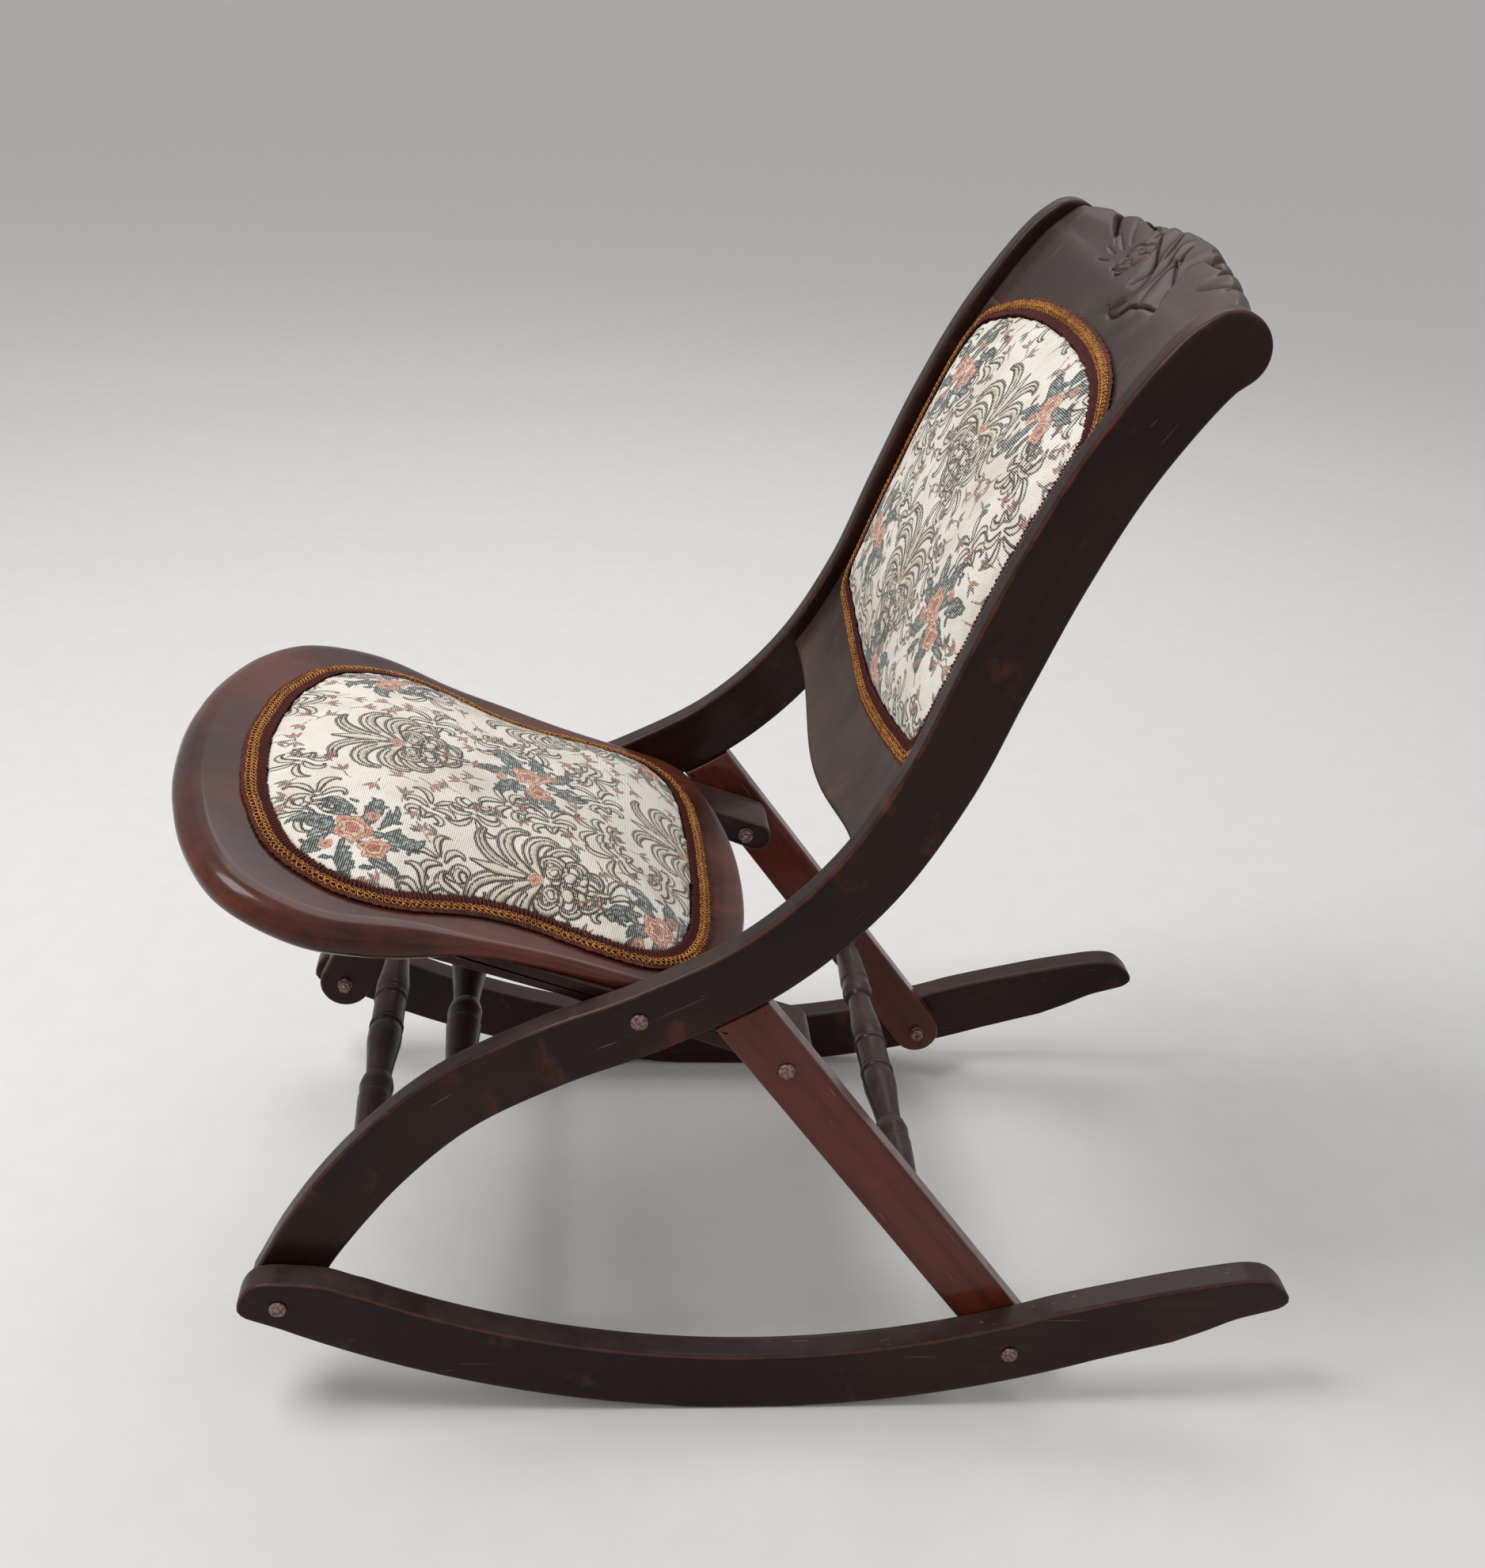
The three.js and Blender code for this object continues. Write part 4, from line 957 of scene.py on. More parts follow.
# Cuts of the crest's carving: a line across it and down it, how wide its slope is, and how deep it goes
BLADES = [
    ([(-62, -44), (-44, -34), (-26, -26), (-4, -16), (9, -6), (11, 6)], 4.0, 2.4),
    ([(-35, -50), (-20, -36), (-8, -23), (13, -8), (26, 8), (27, 18), (16, 29)], 4.5, 3.2),
    ([(-3, -50), (-3, -37), (6, -28), (20, -17), (27, -4), (34, 11), (29, 27)], 4.5, 3.2),
    ([(19, -30), (26, -20), (34, -8), (44, 4), (57, 15)], 3.5, 2.4),
    ([(19, -25), (37, -19), (57, -10)], 2.6, 1.6),
    ([(62, -38), (51, -32), (50, -25), (56, -16), (62, -7), (72, 2), (84, 10)], 6.0, 3.6),
    ([(8, 26), (16, 30), (29, 31), (41, 27), (47, 18), (57, 15), (70, 12), (82, 10)], 3.5, 1.6),
    ([(-22, -44), (-8, -32), (2, -22)], 2.4, 1.2),
    ([(10, -40), (20, -30), (33, -24)], 2.4, 1.4),
    ([(-64, -16), (-82, -23), (-103, -34)], 1.6, 0.6),
    ([(-66, -10), (-80, -13), (-98, -18)], 1.6, 0.6),
    ([(-68, -4), (-76, -4), (-88, -5)], 1.6, 0.5),
    ([(-64, 3), (-70, 5), (-80, 7)], 1.6, 0.5),
    ([(-56, -26), (-64, -33), (-76, -43)], 1.6, 0.6),
    ([(-46, -30), (-50, -36), (-56, -48)], 1.6, 0.6),
]
FOLDS = [
    ([(66, -66), (58, -48), (40, -47), (22, -52)], 5.0, 3.6),
    ([(106, -58), (97, -40), (80, -37), (62, -36)], 7.0, 4.4),
    ([(152, -46), (139, -31), (120, -21), (104, -15)], 8.0, 4.2),
]


def crest_relief(x, down):
    """The carving's height, and a mask of its creases, which are painted dark as shade: a flower, blades swept
    across the middle, and folds from the edge.

    Every cut rises steeply on one side, so that each blade seems to lie over the one before it.
    """
    carve = bpy.context.scene.chair_carving
    from_edge = down - crest_top(x)
    relief = carve.swell / MM * np.exp(-(((from_edge - 12) / 16) ** 2))
    sheaf, _, _ = stroke(np.column_stack([x, down]), np.array([(-38, -34), (46, 14)]), [20, 20])
    relief += carve.swell / MM * (1 - smoothstep(sheaf, -6, 12))
    crease = np.zeros(len(x))
    for cuts, across, low, high in ((BLADES, x, 92, 116), (FOLDS, np.abs(x), 16, 52)):
        places = np.column_stack([across, down])
        for knots, ease, deep in cuts:
            line = smooth_line(knots, per_span=5)
            outside, _, left = stroke(places, line, np.sin(np.linspace(0.2, 2.9, len(line))) * 0.8 - 0.3)
            gap = np.clip(outside, 0, None)
            fading = 1 - smoothstep(from_edge, low, high)
            thin = np.exp(-((gap / 0.9) ** 2)) * min(deep / 2, 1)
            cut = np.where(left > 0, np.exp(-gap / ease), np.exp(-((gap / 1.0) ** 2)))
            relief -= carve.depth * fading * (0.8 * deep * cut + carve.crease / MM * thin)
            crease = np.maximum(crease, fading * thin)
    across, below = x - FLOWER_AT[0], down - FLOWER_AT[1]
    r = np.hypot(across, below)
    lobes = np.abs(np.cos(2.5 * np.arctan2(below, across) + 0.4))
    petals = FLOWER_RADIUS * (0.74 + 0.26 * lobes)
    veins = 0.9 * np.exp(-((lobes * r / 1.8) ** 2)) * (r > 5)
    ripples = 0.3 * np.sin(r * 0.9) * (r > 7)
    flower = 0.7 + 1.1 * smoothstep(petals - r, 0, 8) - veins - ripples
    relief = np.where(r < petals, flower, relief - 0.9 * np.exp(-(((r - petals) / 1.2) ** 2)))
    heart = 1.5 + 0.9 * np.sqrt(np.clip(1 - (r / FLOWER_HEART) ** 2, 0, 1))
    relief = np.where(r < FLOWER_HEART, heart, relief)
    return relief + side_bead(x), np.where(r < petals - 1, 0, crease)


def plain_relief(x, _):
    """The relief of a board that has only its beads, with no creases."""
    return side_bead(x), np.zeros(len(x))


def side_bead(x):
    """A narrow bead cut along each side rail."""
    from_side = BACK_HALF - np.abs(x)
    return -1.3 * np.exp(-(((from_side - 9) / 0.9) ** 2)) + 0.5 * np.exp(-(((from_side - 6) / 1.8) ** 2))


def crest_top(x):
    """The scalloped top edge, notched on one side between its knuckles."""
    shares = np.array(CREST_SHARES)
    edge = -CREST_RISE * np.interp(np.abs(x) / BACK_HALF, shares[:, 0], shares[:, 1])
    for knots, _, _ in FOLDS:
        edge = edge + CREST_NOTCH * (x > 0) * np.exp(-np.abs((x - knots[1][0]) / 6.0) ** 1.5)
    return edge


def back_board(name, across, shares, top, bottom, thickness, relief, round_top, round_bottom):
    """A board bent along the rails and hollow across, whose relief gives its front's height and creases."""
    x = np.asarray(across, float)
    count = len(x)
    top_edge = np.broadcast_to(top(x), count)
    bottom_edge = np.broadcast_to(bottom(x), count)
    turns = np.linspace(0, math.pi, 11)[1:-1]
    reach = thickness / 2
    bulge_top, bulge_bottom = (reach * 0.5 if rounded else 0.0 for rounded in (round_top, round_bottom))
    section = [(share, 0.0, 0.0, 1.0) for share in shares]
    section += [(1.0, bulge_bottom * math.sin(a), -reach * (1 - math.cos(a)), 0.0) for a in turns]
    section += [(share, 0.0, -thickness, 0.0) for share in np.linspace(1, 0, 21)]
    section += [(0.0, -bulge_top * math.sin(a), -reach * (1 + math.cos(a)), (1 - math.cos(a)) / 2)
                for a in turns]
    points, grain, wear_and_crease_shade = [], [], []
    for share, extra, lift, carved in section:
        eased = top_edge + bulge_top
        down = eased + share * (bottom_edge - bulge_bottom - eased) + extra
        shape, crease = relief(x, np.maximum(down, eased))
        height = lift + carved * shape
        points.append(on_back(x, down, height))
        grain.append(np.column_stack([down, x, height]))
        edge = 0.3 if abs(extra) > 0 else 0.0
        # Rubbed stain on edges and raised carving as positive values; painted shade in the creases as negative
        # values.
        wear_and_crease_shade.append((edge + 0.35 * smoothstep(height, 1.2, 3.5)) * (1 - crease) - carved * crease)
    rings = len(section)
    faces = faces_between(rings, count, closed_rows=True, closed_across=False)
    faces += [tuple(r * count + end for r in range(rings)) for end in (0, count - 1)]
    return wooden_piece(name, np.vstack(points), faces, dusty_wood(), "back_frame",
                        np.vstack(grain), np.concatenate(wear_and_crease_shade), 0.4, 50)


def seat_outline(count=300):
    half = [(a * SEAT_HALF, -b * SEAT_FRONT) for a, b in SEAT_FRONT_SHARES]
    half += [(WAIST_HALF + a * (SEAT_HALF - WAIST_HALF), -b * SEAT_FRONT) for a, b in SEAT_FLANK_SHARES]
    half += [(a * WAIST_HALF, b * SEAT_REAR) for a, b in SEAT_BACK_SHARES]
    line = evenly(smooth_line(both_halves(half), closed=True), count, closed=True)
    limit = np.where(line[:, 1] > -SEAT_FLANK_SHARES[-1][1] * SEAT_FRONT, WAIST_HALF, SEAT_HALF)
    line[:, 0] = np.clip(line[:, 0], -limit, limit)
    return eased_loop(line, 4)


def seat_board_piece():
    """The seat board with its rim rolled over the front and fading out before the rails."""
    outline = seat_outline()
    inward = inward_of(outline)
    n = len(outline)
    rolled = smoothstep(-outline[:, 1], 0.3 * SEAT_FRONT, 0.5 * SEAT_FRONT)
    easing = RIM_ROLL / 5
    room = np.abs(outline[:, 0]) - ARM_OUTER - 0.4 - easing
    room = np.where(outline[:, 1] > -ARM_FRONT - 2 * RIM_INSET, room, RIM_INSET)
    reach = eased_loop(np.clip(room, easing, RIM_INSET), 4)
    profile = smooth_line([(0.6, 0), (0.16, 0.2), (0, 0.45), (0.12, 0.72), (0.45, 0.92), (1, 1)], per_span=5)
    low = SEAT_UNDERSIDE - RIM_DROP * rolled
    rings = [(reach + easing, np.full(n, SEAT_UNDERSIDE), 0.0), (reach, low, 0.15)]
    full = RIM_ROLL * (0.3 + 0.7 * rolled)
    for across, up in profile:
        worn = 0.3 + 0.65 * math.exp(-((up - 0.55) / 0.3) ** 2)
        rings.append((across * full, low + (SEAT_TOP - low) * up, worn))
    rings.append((full + 2.5, np.full(n, SEAT_TOP), 0.12))
    rings.append((full + 9, np.full(n, SEAT_TOP), 0.05))
    points, wear_and_crease_shade, grain = [], [], []
    corner = smoothstep(-outline[:, 1], 150, 330) * smoothstep(np.abs(outline[:, 0]), 60, 190)
    for inset, lift, worn in rings:
        place = outline + inward * np.reshape(inset, (-1, 1))
        points.append(on_seat(place[:, 0], place[:, 1], lift))
        grain.append(np.column_stack([place[:, 1], place[:, 0], lift]))
        wear_and_crease_shade.append(worn * (0.62 + 0.38 * corner))
    faces = faces_between(len(rings), n) + end_faces(len(rings), n)
    return wooden_piece("seat_board", np.vstack(points), faces, red_wood(), "seat",
                        np.vstack(grain), np.concatenate(wear_and_crease_shade), 0.12, 45)


def seat_arm_outline():
    """The seat arm's outline: a sloped front end, and a deeper, round rear end."""
    top = SEAT_UNDERSIDE - SEATING_GAP
    radius = ARM_REAR_DEPTH / 2
    low = top - ARM_FRONT_DEPTH
    corners = [(-ARM_FRONT, top), (-ARM_FRONT, top - ARM_FRONT_DEPTH / 2), (-ARM_FRONT + ARM_FRONT_DEPTH, low),
               (-LEG_PIVOT[0] / 2, low)]
    flat = np.vstack([corners, arc((ARM_REAR - radius, top - radius), radius, -math.pi / 2, math.pi / 2, 24)])
    return SEAT_PIVOT + flat[:, :1] * SEAT_ALONG + flat[:, 1:] * SEAT_UP


# Upholstery


def merged_copy(node, name):
    """A copy of a frame node's mesh with its corners merged, as a new object."""
    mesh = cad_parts[node].data.copy()
    mesh.name = name
    face_outwards(mesh, 1e-6)
    mesh.materials.clear()
    return add_object(name, mesh)


def points_of(mesh):
    points = np.zeros(len(mesh.vertices) * 3, np.float32)
    mesh.vertices.foreach_get("co", points)
    return points.reshape(-1, 3).astype(float) / MM


def set_points(mesh, points):
    mesh.vertices.foreach_set("co", (points * MM).astype(np.float32).ravel())
    mesh.update()


def divide_shown(mesh, shown):
    """Halves the faces whose corners are all shown."""
    sheet = bmesh.new()
    sheet.from_mesh(mesh)
    edges = {edge for face in sheet.faces if all(shown[v.index] for v in face.verts) for edge in face.edges}
    bmesh.ops.subdivide_edges(sheet, edges=list(edges), cuts=1, use_grid_fill=True)
    sheet.to_mesh(mesh)
    sheet.free()


def stuffed(name, node, places_of, place_back):
    """A pad blown up a little by simulated pressure over its board, held down all round its foot."""
    pad = merged_copy(node, name)
    start = places_of(points_of(pad.data))
    start[:, 2] = np.where(start[:, 2] > 1, start[:, 2] * PAD_START, start[:, 2])
    set_points(pad.data, place_back(*start.T))
    remesh = pad.modifiers.new("remesh", "REMESH")
    remesh.mode = "VOXEL"
    remesh.voxel_size = PAD_VOXEL * MM
    apply_modifiers(pad)
    before = points_of(pad.data)
    lift = places_of(before)[:, 2]
    held = pad.vertex_groups.new(name="held")
    for share, low, high in ((1.0, -9, 2.2), (0.6, 2.2, 4.5)):
        held.add([int(k) for k in np.flatnonzero((lift >= low) & (lift < high))], share, "ADD")
    cloth = pad.modifiers.new("cloth", "CLOTH")
    cloth.settings.quality = 4
    cloth.settings.use_pressure = True
    cloth.settings.uniform_pressure_force = PAD_PRESSURE
    cloth.settings.vertex_group_mass = "held"
    cloth.settings.effector_weights.gravity = 0
    cloth.point_cache.frame_start = 1
    cloth.point_cache.frame_end = PAD_STEPS
    for number in range(1, PAD_STEPS + 1):
        bpy.context.scene.frame_set(number)
    apply_modifiers(pad)
    bpy.context.scene.frame_set(1)
    moved = points_of(pad.data) - before
    size = np.linalg.norm(moved, axis=1, keepdims=True)
    cap = bpy.context.scene.chair_tapestry.swell / MM
    limited = before + moved * np.minimum(1, cap * np.tanh(size / cap) / np.maximum(size, 1e-6))
    settled = places_of(limited)
    settled[:, 2] = np.maximum(settled[:, 2], SEATING_GAP)
    set_points(pad.data, place_back(*settled.T))
    finer = pad.modifiers.new("finer", "SUBSURF")
    finer.levels = finer.render_levels = 1
    apply_modifiers(pad)
    divide_shown(pad.data, places_of(points_of(pad.data))[:, 2] > 1.5)
    places = places_of(points_of(pad.data))
    add_values(pad.data, "cloth", "FLOAT_VECTOR", places * MM)
    pad.data.shade_smooth()
    return pad, places


# Leaves of a scroll and of a small fan: where each starts, its heading, length, bends and width
SCROLL_LEAVES = [
    ((2, -6), 78, 58, 0.004, -0.07, 5.0), ((3, -11), 55, 62, 0.006, -0.095, 6.0),
    ((4, -17), 32, 56, 0.008, -0.12, 6.0), ((4, -23), 8, 48, 0.014, -0.14, 5.4),
    ((3, -31), -20, 40, 0.02, 0.2, 4.4), ((2, -40), -48, 34, 0.02, 0.2, 4.0),
    ((1, -50), 26, 28, 0.05, 0.2, 3.6), ((2, -60), -6, 24, 0.03, 0.18, 3.2),
]
FAN_LEAVES = [
    ((3, -4), 62, 44, 0.01, -0.1, 4.6), ((4, -14), 30, 40, 0.01, -0.15, 5.0),
    ((3, -26), -4, 34, 0.02, -0.2, 4.6), ((1, -40), 70, 20, 0.02, -0.1, 3.4),
]
SCROLL_BERRIES = ((9, 25, 6.0), (9, 25, 3.2), (7, 37, 4.6), (6, 47, 3.4))
SCROLL_STEM = np.array([(0, 66), (2, 52), (-2, 40), (0, 26)])
SCROLL_HEART = np.array([(0, 4), (0.6, -16), (0, -34)])
ROSE_RINGS = ((1.9, 15), (1.35, 15), (0.85, 12))
ROSE_BLOOMS = ((0.35, 200, 1.0), (1.35, 20, 0.8), (1.5, 130, 0.4), (1.7, 285, 0.36))


def woven_motifs(mesh, places, roses, scrolls, sprigs, fans):
    """Writes how far each point of the cloth lies outside the scrolls, leaves and sprigs, and out in a rose."""
    grid = places[:, :2]
    fields = {name: np.full(len(grid), far) for name, far in
              (("scroll", 60.0), ("leaf", 60.0), ("sprig", 60.0), ("rose", 4.0))}
    shaded = np.zeros(len(grid))

    def draw(kind, line, radii, hand=1):
        reach = max(radii) + 9
        low, high = line.min(0) - reach, line.max(0) + reach
        near = np.flatnonzero(((grid > low) & (grid < high)).all(1))
        if len(near):
            outside, middle, left = stroke(grid[near], line, radii)
            over = outside < 0.35
            fields[kind][near] = np.where(over, outside, np.minimum(fields[kind][near], outside))
            shaded[near] = np.where(over, left * hand / np.maximum(middle - outside, 0.4), shaded[near])

    def draw_leaf(line, width, hand):
        """A scroll's leaf with a narrower fold lying along its inner side."""
        t = np.linspace(0, 1, len(line))
        radii = width * np.interp(t, np.linspace(0, 1, 7), [0.25, 0.6, 0.85, 1.0, 0.95, 0.75, 0.4])
        draw("scroll", line, radii, hand)
        along = unit(np.gradient(line, axis=0))
        beside = np.column_stack([-along[:, 1], along[:, 0]]) * radii[:, None] * -0.42 * hand
        keep = slice(len(line) // 4, len(line))
        draw("scroll", (line + beside)[keep], radii[keep] * 0.4, hand)

    def draw_bloom(x, y, size):
        offset = grid - (x, y)
        theta = np.arctan2(offset[:, 1], offset[:, 0])
        radius = np.linalg.norm(offset, axis=1) / size
        lobes = 0.9 + 0.1 * np.cos(5 * theta + radius * 2.4 + x) + 0.06 * np.cos(3 * theta + y)
        fields["rose"] = np.minimum(fields["rose"], radius / lobes)

    def draw_leaves(x, y, turn, scale, leaves):
        across, along = heading(turn)
        for hand in (-1, 1):
            for start, first_turn, length, bend, end_bend, width in leaves:
                line = curl(start, first_turn, length, bend, end_bend, 12) * (hand * scale, -scale)
                line = line @ np.array([(across, along), (-along, across)]) + (x, y)
                if scale < 1:
                    draw("scroll", line, leaf_radii(width * scale, 12, 0.3), hand)
                else:
                    draw_leaf(line, width, hand)

    for x, y, turn in fans:
        draw_leaves(x, y, turn, FAN_SCALE, FAN_LEAVES)
    for x, y, way in scrolls:
        draw("scroll", SCROLL_STEM * (1, way) + (x, y), [1.8, 2.6, 2.6, 2.0])
        draw_leaves(x, y, 0 if way > 0 else 180, 1.0, SCROLL_LEAVES)
        for hand in (-1, 1):
            for u, v, size in SCROLL_BERRIES:
                berry = np.array([(u, v), (u + 2, v + 1)]) * (hand, way) + (x, y)
                draw("scroll", berry, [size, size * 0.9], hand)
        draw("scroll", SCROLL_HEART * (1, way) + (x, y), [2.4, 5.0, 0.8])
        draw_bloom(x, y + 13 * way, 6.5)
    for x, y, size in roses:
        for ring, count in ROSE_RINGS:
            for k in range(count):
                turn = 360 * (k + 0.35 * ring) / count + x
                length = 14 + 5 * math.cos(3.1 * k + x) + 2 * ring
                start = heading(turn) * size * (ring + 0.25 * math.sin(2.3 * k + y)) + (x, y)
                line = curl(start, turn + 30 * (-1) ** k, length, 0.02 * (-1) ** k, 0.05, 8)
                draw("leaf", line, leaf_radii(2.7 + 0.7 * math.sin(1.7 * k), 8))
        for k in range(22):
            start = heading(16.4 * k + y) * size * (2.25 + 0.5 * math.sin(2.9 * k)) + (x, y)
            line = curl(start, 78 + 24 * math.sin(1.9 * k), 7 + 2 * math.sin(3.7 * k), 0, 0, 2)
            draw("leaf", line, [0.5, 1.3, 0.5])
        for far, turn, share in ROSE_BLOOMS:
            across, along = heading(turn + 0.2 * x)
            draw_bloom(x + size * far * across, y + size * far * along, size * share)
    for x, y, turn in sprigs:
        for lean in (-38, 0, 38):
            draw("sprig", curl((x, y), turn + lean, 10, 0.01, 0.02, 3), [0.7, 1.7, 1.5, 0.6])
        draw("sprig", curl((x, y), turn + 180, 11, 0.01, 0.04, 3), [0.7, 0.7, 0.6, 0.5])
    add_values(mesh, "motif", "FLOAT_COLOR", np.column_stack(list(fields.values())))
    add_values(mesh, "side", "FLOAT", shaded)


def scattered(low, high, apart, away, seed):
    """Places for small sprigs on a jittered grid, clear of the larger motifs."""
    chance = np.random.default_rng(seed)
    found = []
    for x in np.arange(low[0], high[0], apart):
        for y in np.arange(low[1], high[1], apart):
            spot = np.array([x, y]) + chance.uniform(-0.36, 0.36, 2) * apart
            if all(np.hypot(*(spot - centre)) > gap for centre, gap in away):
                found.append((*spot, float(chance.uniform(0, 360))))
    return found


def covered_pad(name, node, body, places_of, place_back, clear, fan_low, sprig_low, high, seeds, roses,
                scrolls):
    """A stuffed pad in its woven cover, with small fans and sprigs scattered between its roses and scrolls.

    clear is how far the fans and sprigs keep from a rose.
    """
    pad, places = stuffed(name, node, places_of, place_back)
    away = [((x, y), clear) for x, y, _ in roses] + [((x, y), clear + 10) for x, y, _ in scrolls]
    fans = scattered(fan_low, high, FAN_SPACING, away, seeds[0])
    away += [((x, y), FAN_CLEAR) for x, y, _ in fans]
    sprigs = scattered(sprig_low, high, SPRIG_SPACING, away, seeds[1])
    woven_motifs(pad.data, places, roses, scrolls, sprigs, fans)
    pad.data.materials.clear()
    pad.data.materials.append(woven_tapestry())
    place_piece(pad, body, [node])


LOOP_SIZES = ("Pitch", "Loop length", "Loop width", "Yarn", "Lean", "Tilt", "Lift", "Jitter")


def loop_tree():
    """Geometry nodes that lay yarn loops along a path, each square to the path's up attribute."""
    found = bpy.data.node_groups.get("yarn_loops")
    if found:
        return found
    sockets = [("Path", "Geometry")] + [(name, "Float") for name in LOOP_SIZES] + [("Material", "Material")]
    tree, desk, given = start_tree("yarn_loops", sockets, "Loops")

    def step(kind, inputs=None, **settings):
        return desk.put(kind, inputs, **settings).outputs[0]

    curve = step("GeometryNodeMeshToCurve", {"Mesh": given["Path"]})
    spaced = step("GeometryNodeResampleCurve", {"Curve": curve, "Length": given["Pitch"]}, mode="LENGTH")
    up = desk.put("GeometryNodeInputNamedAttribute", {"Name": "up"}, data_type="FLOAT_VECTOR")
    up = up.outputs["Attribute"]
    tangent = step("GeometryNodeInputTangent")
    raised = step("ShaderNodeVectorMath", {0: up, "Scale": given["Lift"]}, operation="SCALE")
    placed = step("GeometryNodeSetPosition", {"Geometry": spaced, "Offset": raised})
    turn = step("FunctionNodeAxesToRotation", {"Primary Axis": up, "Secondary Axis": tangent},
                primary_axis="Z", secondary_axis="X")
    ring = step("GeometryNodeCurvePrimitiveCircle", {"Resolution": 12, "Radius": 0.5}, mode="RADIUS")
    lean = step("ShaderNodeCombineXYZ", {"X": given["Tilt"], "Y": 0.0, "Z": given["Lean"]})
    scale = step("ShaderNodeCombineXYZ", {"X": given["Loop length"], "Y": given["Loop width"], "Z": 1.0})
    sized = step("GeometryNodeTransform", {"Geometry": ring, "Scale": scale})
    leant = step("GeometryNodeTransform", {"Geometry": sized, "Rotation": lean})
    strand = desk.put("GeometryNodeCurvePrimitiveCircle", {"Resolution": 5}, mode="RADIUS")
    desk.feed(strand.inputs["Radius"], given["Yarn"])
    loop = step("GeometryNodeCurveToMesh", {"Curve": leant, "Profile Curve": strand.outputs[0]})
    chance = desk.put("FunctionNodeRandomValue", data_type="FLOAT")
    low, high = [s for s in chance.inputs if s.type == "VALUE"][:2]
    desk.feed(low, desk.minus(1.0, given["Jitter"]))
    desk.feed(high, desk.plus(1.0, given["Jitter"]))
    chance.inputs["Seed"].default_value = 7
    size = [s for s in chance.outputs if s.type == "VALUE"][0]
    laid = step("GeometryNodeInstanceOnPoints",
                {"Points": placed, "Instance": loop, "Rotation": turn, "Scale": size})
    real = step("GeometryNodeRealizeInstances", {"Geometry": laid})
    smooth = step("GeometryNodeSetShadeSmooth", {"Geometry": real})
    finished = step("GeometryNodeSetMaterial", {"Geometry": smooth, "Material": given["Material"]})
    desk.put("NodeGroupOutput", {"Loops": finished})
    return tree


def yarn_row(name, path, up, sizes, material, body, node):
    """One row of yarn loops along a closed path."""
    mesh = bpy.data.meshes.new(name)
    n = len(path)
    mesh.from_pydata((path * MM).tolist(), [(k, (k + 1) % n) for k in range(n)], [])
    add_values(mesh, "up", "FLOAT_VECTOR", up)
    piece = add_object(name, mesh)
    apply_nodes(piece, loop_tree(), {**sizes, "Material": material})
    piece.data.name = name
    return place_piece(piece, body, [node])


def inset_path(outline, inset, surface, lift, count=360):
    """A closed path inside an outline, and the way out of the surface along it."""
    fine = evenly(outline, count, closed=True)
    inward = inward_of(fine)
    moved = fine + inward * inset
    far = np.array([np.min(np.hypot(*(fine - p).T)) for p in moved])
    moved = moved[far > inset - 0.35]
    moved = evenly(moved, count, closed=True)
    low, high = (surface(moved[:, 0], moved[:, 1], lift + rise) for rise in (0, 1))
    up = unit(high - low)
    beside = np.cross(up, np.roll(low, -1, 0) - low)
    if np.sum(beside * (low.mean(0) - low)) < 0:
        low, up = low[::-1], up[::-1]
    return low, up


def gimp_pieces(part, outline, surface, body, base):
    """The gimp of one pad: its woven tape, an outer row of gold loops and inner rows of maroon coils."""
    sizes = bpy.context.scene.chair_gimp
    node = f"{part}_gimp"
    tape = merged_copy(node, f"{part}_gimp_tape")
    finer = tape.modifiers.new("finer", "SUBSURF")
    finer.levels = finer.render_levels = 2
    apply_modifiers(tape)
    tape.data.materials.append(yarn("maroon_tape", linear(34, 12, 10), linear(66, 26, 20), 0.0))
    tape.data.shade_smooth()
    place_piece(tape, body, [node])
    gold = yarn("gold_yarn", linear(82, 34, 13), linear(226, 158, 78), 0.9)
    maroon = yarn("maroon_yarn", linear(44, 13, 11), linear(88, 30, 24), 0.0)
    rope = yarn("edge_yarn", linear(62, 26, 19), linear(118, 62, 46), 0.3)
    fine, gold_pitch, coil_pitch = sizes.yarn, sizes.gold_pitch, sizes.coil_pitch
    # Each row's name, yarn, distance in from the edge and height, and then its loops' sizes
    rows = (
        ("gold_outer", gold, 5.4, 3.0, gold_pitch, 0.0036, 0.0052, fine, 0.45, 0.2, 0.0005, 0.14),
        ("gold_inner", gold, 8.4, 3.5, gold_pitch, 0.0034, 0.0048, fine, -0.45, -0.1, 0.0005, 0.14),
        ("maroon_coils", maroon, 13.3, 3.3, coil_pitch, 0.0021, 0.0088, fine * 1.6, 0.1, 0.28, 0.0009, 0.16),
        ("maroon_edge", rope, 1.7, 1.6, coil_pitch * 0.7, 0.0012, 0.0030, fine * 1.1, 0.5, 0.35, 0.0004, 0.3),
    )
    for name, material, inset, lift, *loop in rows:
        path, up = inset_path(outline, inset, surface, base + lift)
        yarn_row(f"{part}_{name}", path, up, dict(zip(LOOP_SIZES, loop)), material, body, node)


# Fasteners


def turned_shape(name, section, sides=32):
    """A closed shape turned about y from its half section, which starts and ends on the axis."""
    section = np.asarray(section, float)
    inner = section[1:-1]
    angle = np.linspace(0, 2 * math.pi, sides, endpoint=False)
    points = [(0.0, section[0][1], 0.0)]
    for r, y in inner:
        points += [(r * math.cos(a), y, r * math.sin(a)) for a in angle]
    points.append((0.0, section[-1][1], 0.0))
    last = len(points) - 1
    faces = []
    for k in range(sides):
        after = (k + 1) % sides
        faces.append((0, 1 + k, 1 + after))
        for r in range(len(inner) - 1):
            base = 1 + r * sides
            faces.append((base + k, base + sides + k, base + sides + after, base + after))
        base = 1 + (len(inner) - 1) * sides
        faces.append((base + k, last, base + after))
    return finished_shape(name, np.array(points), faces)


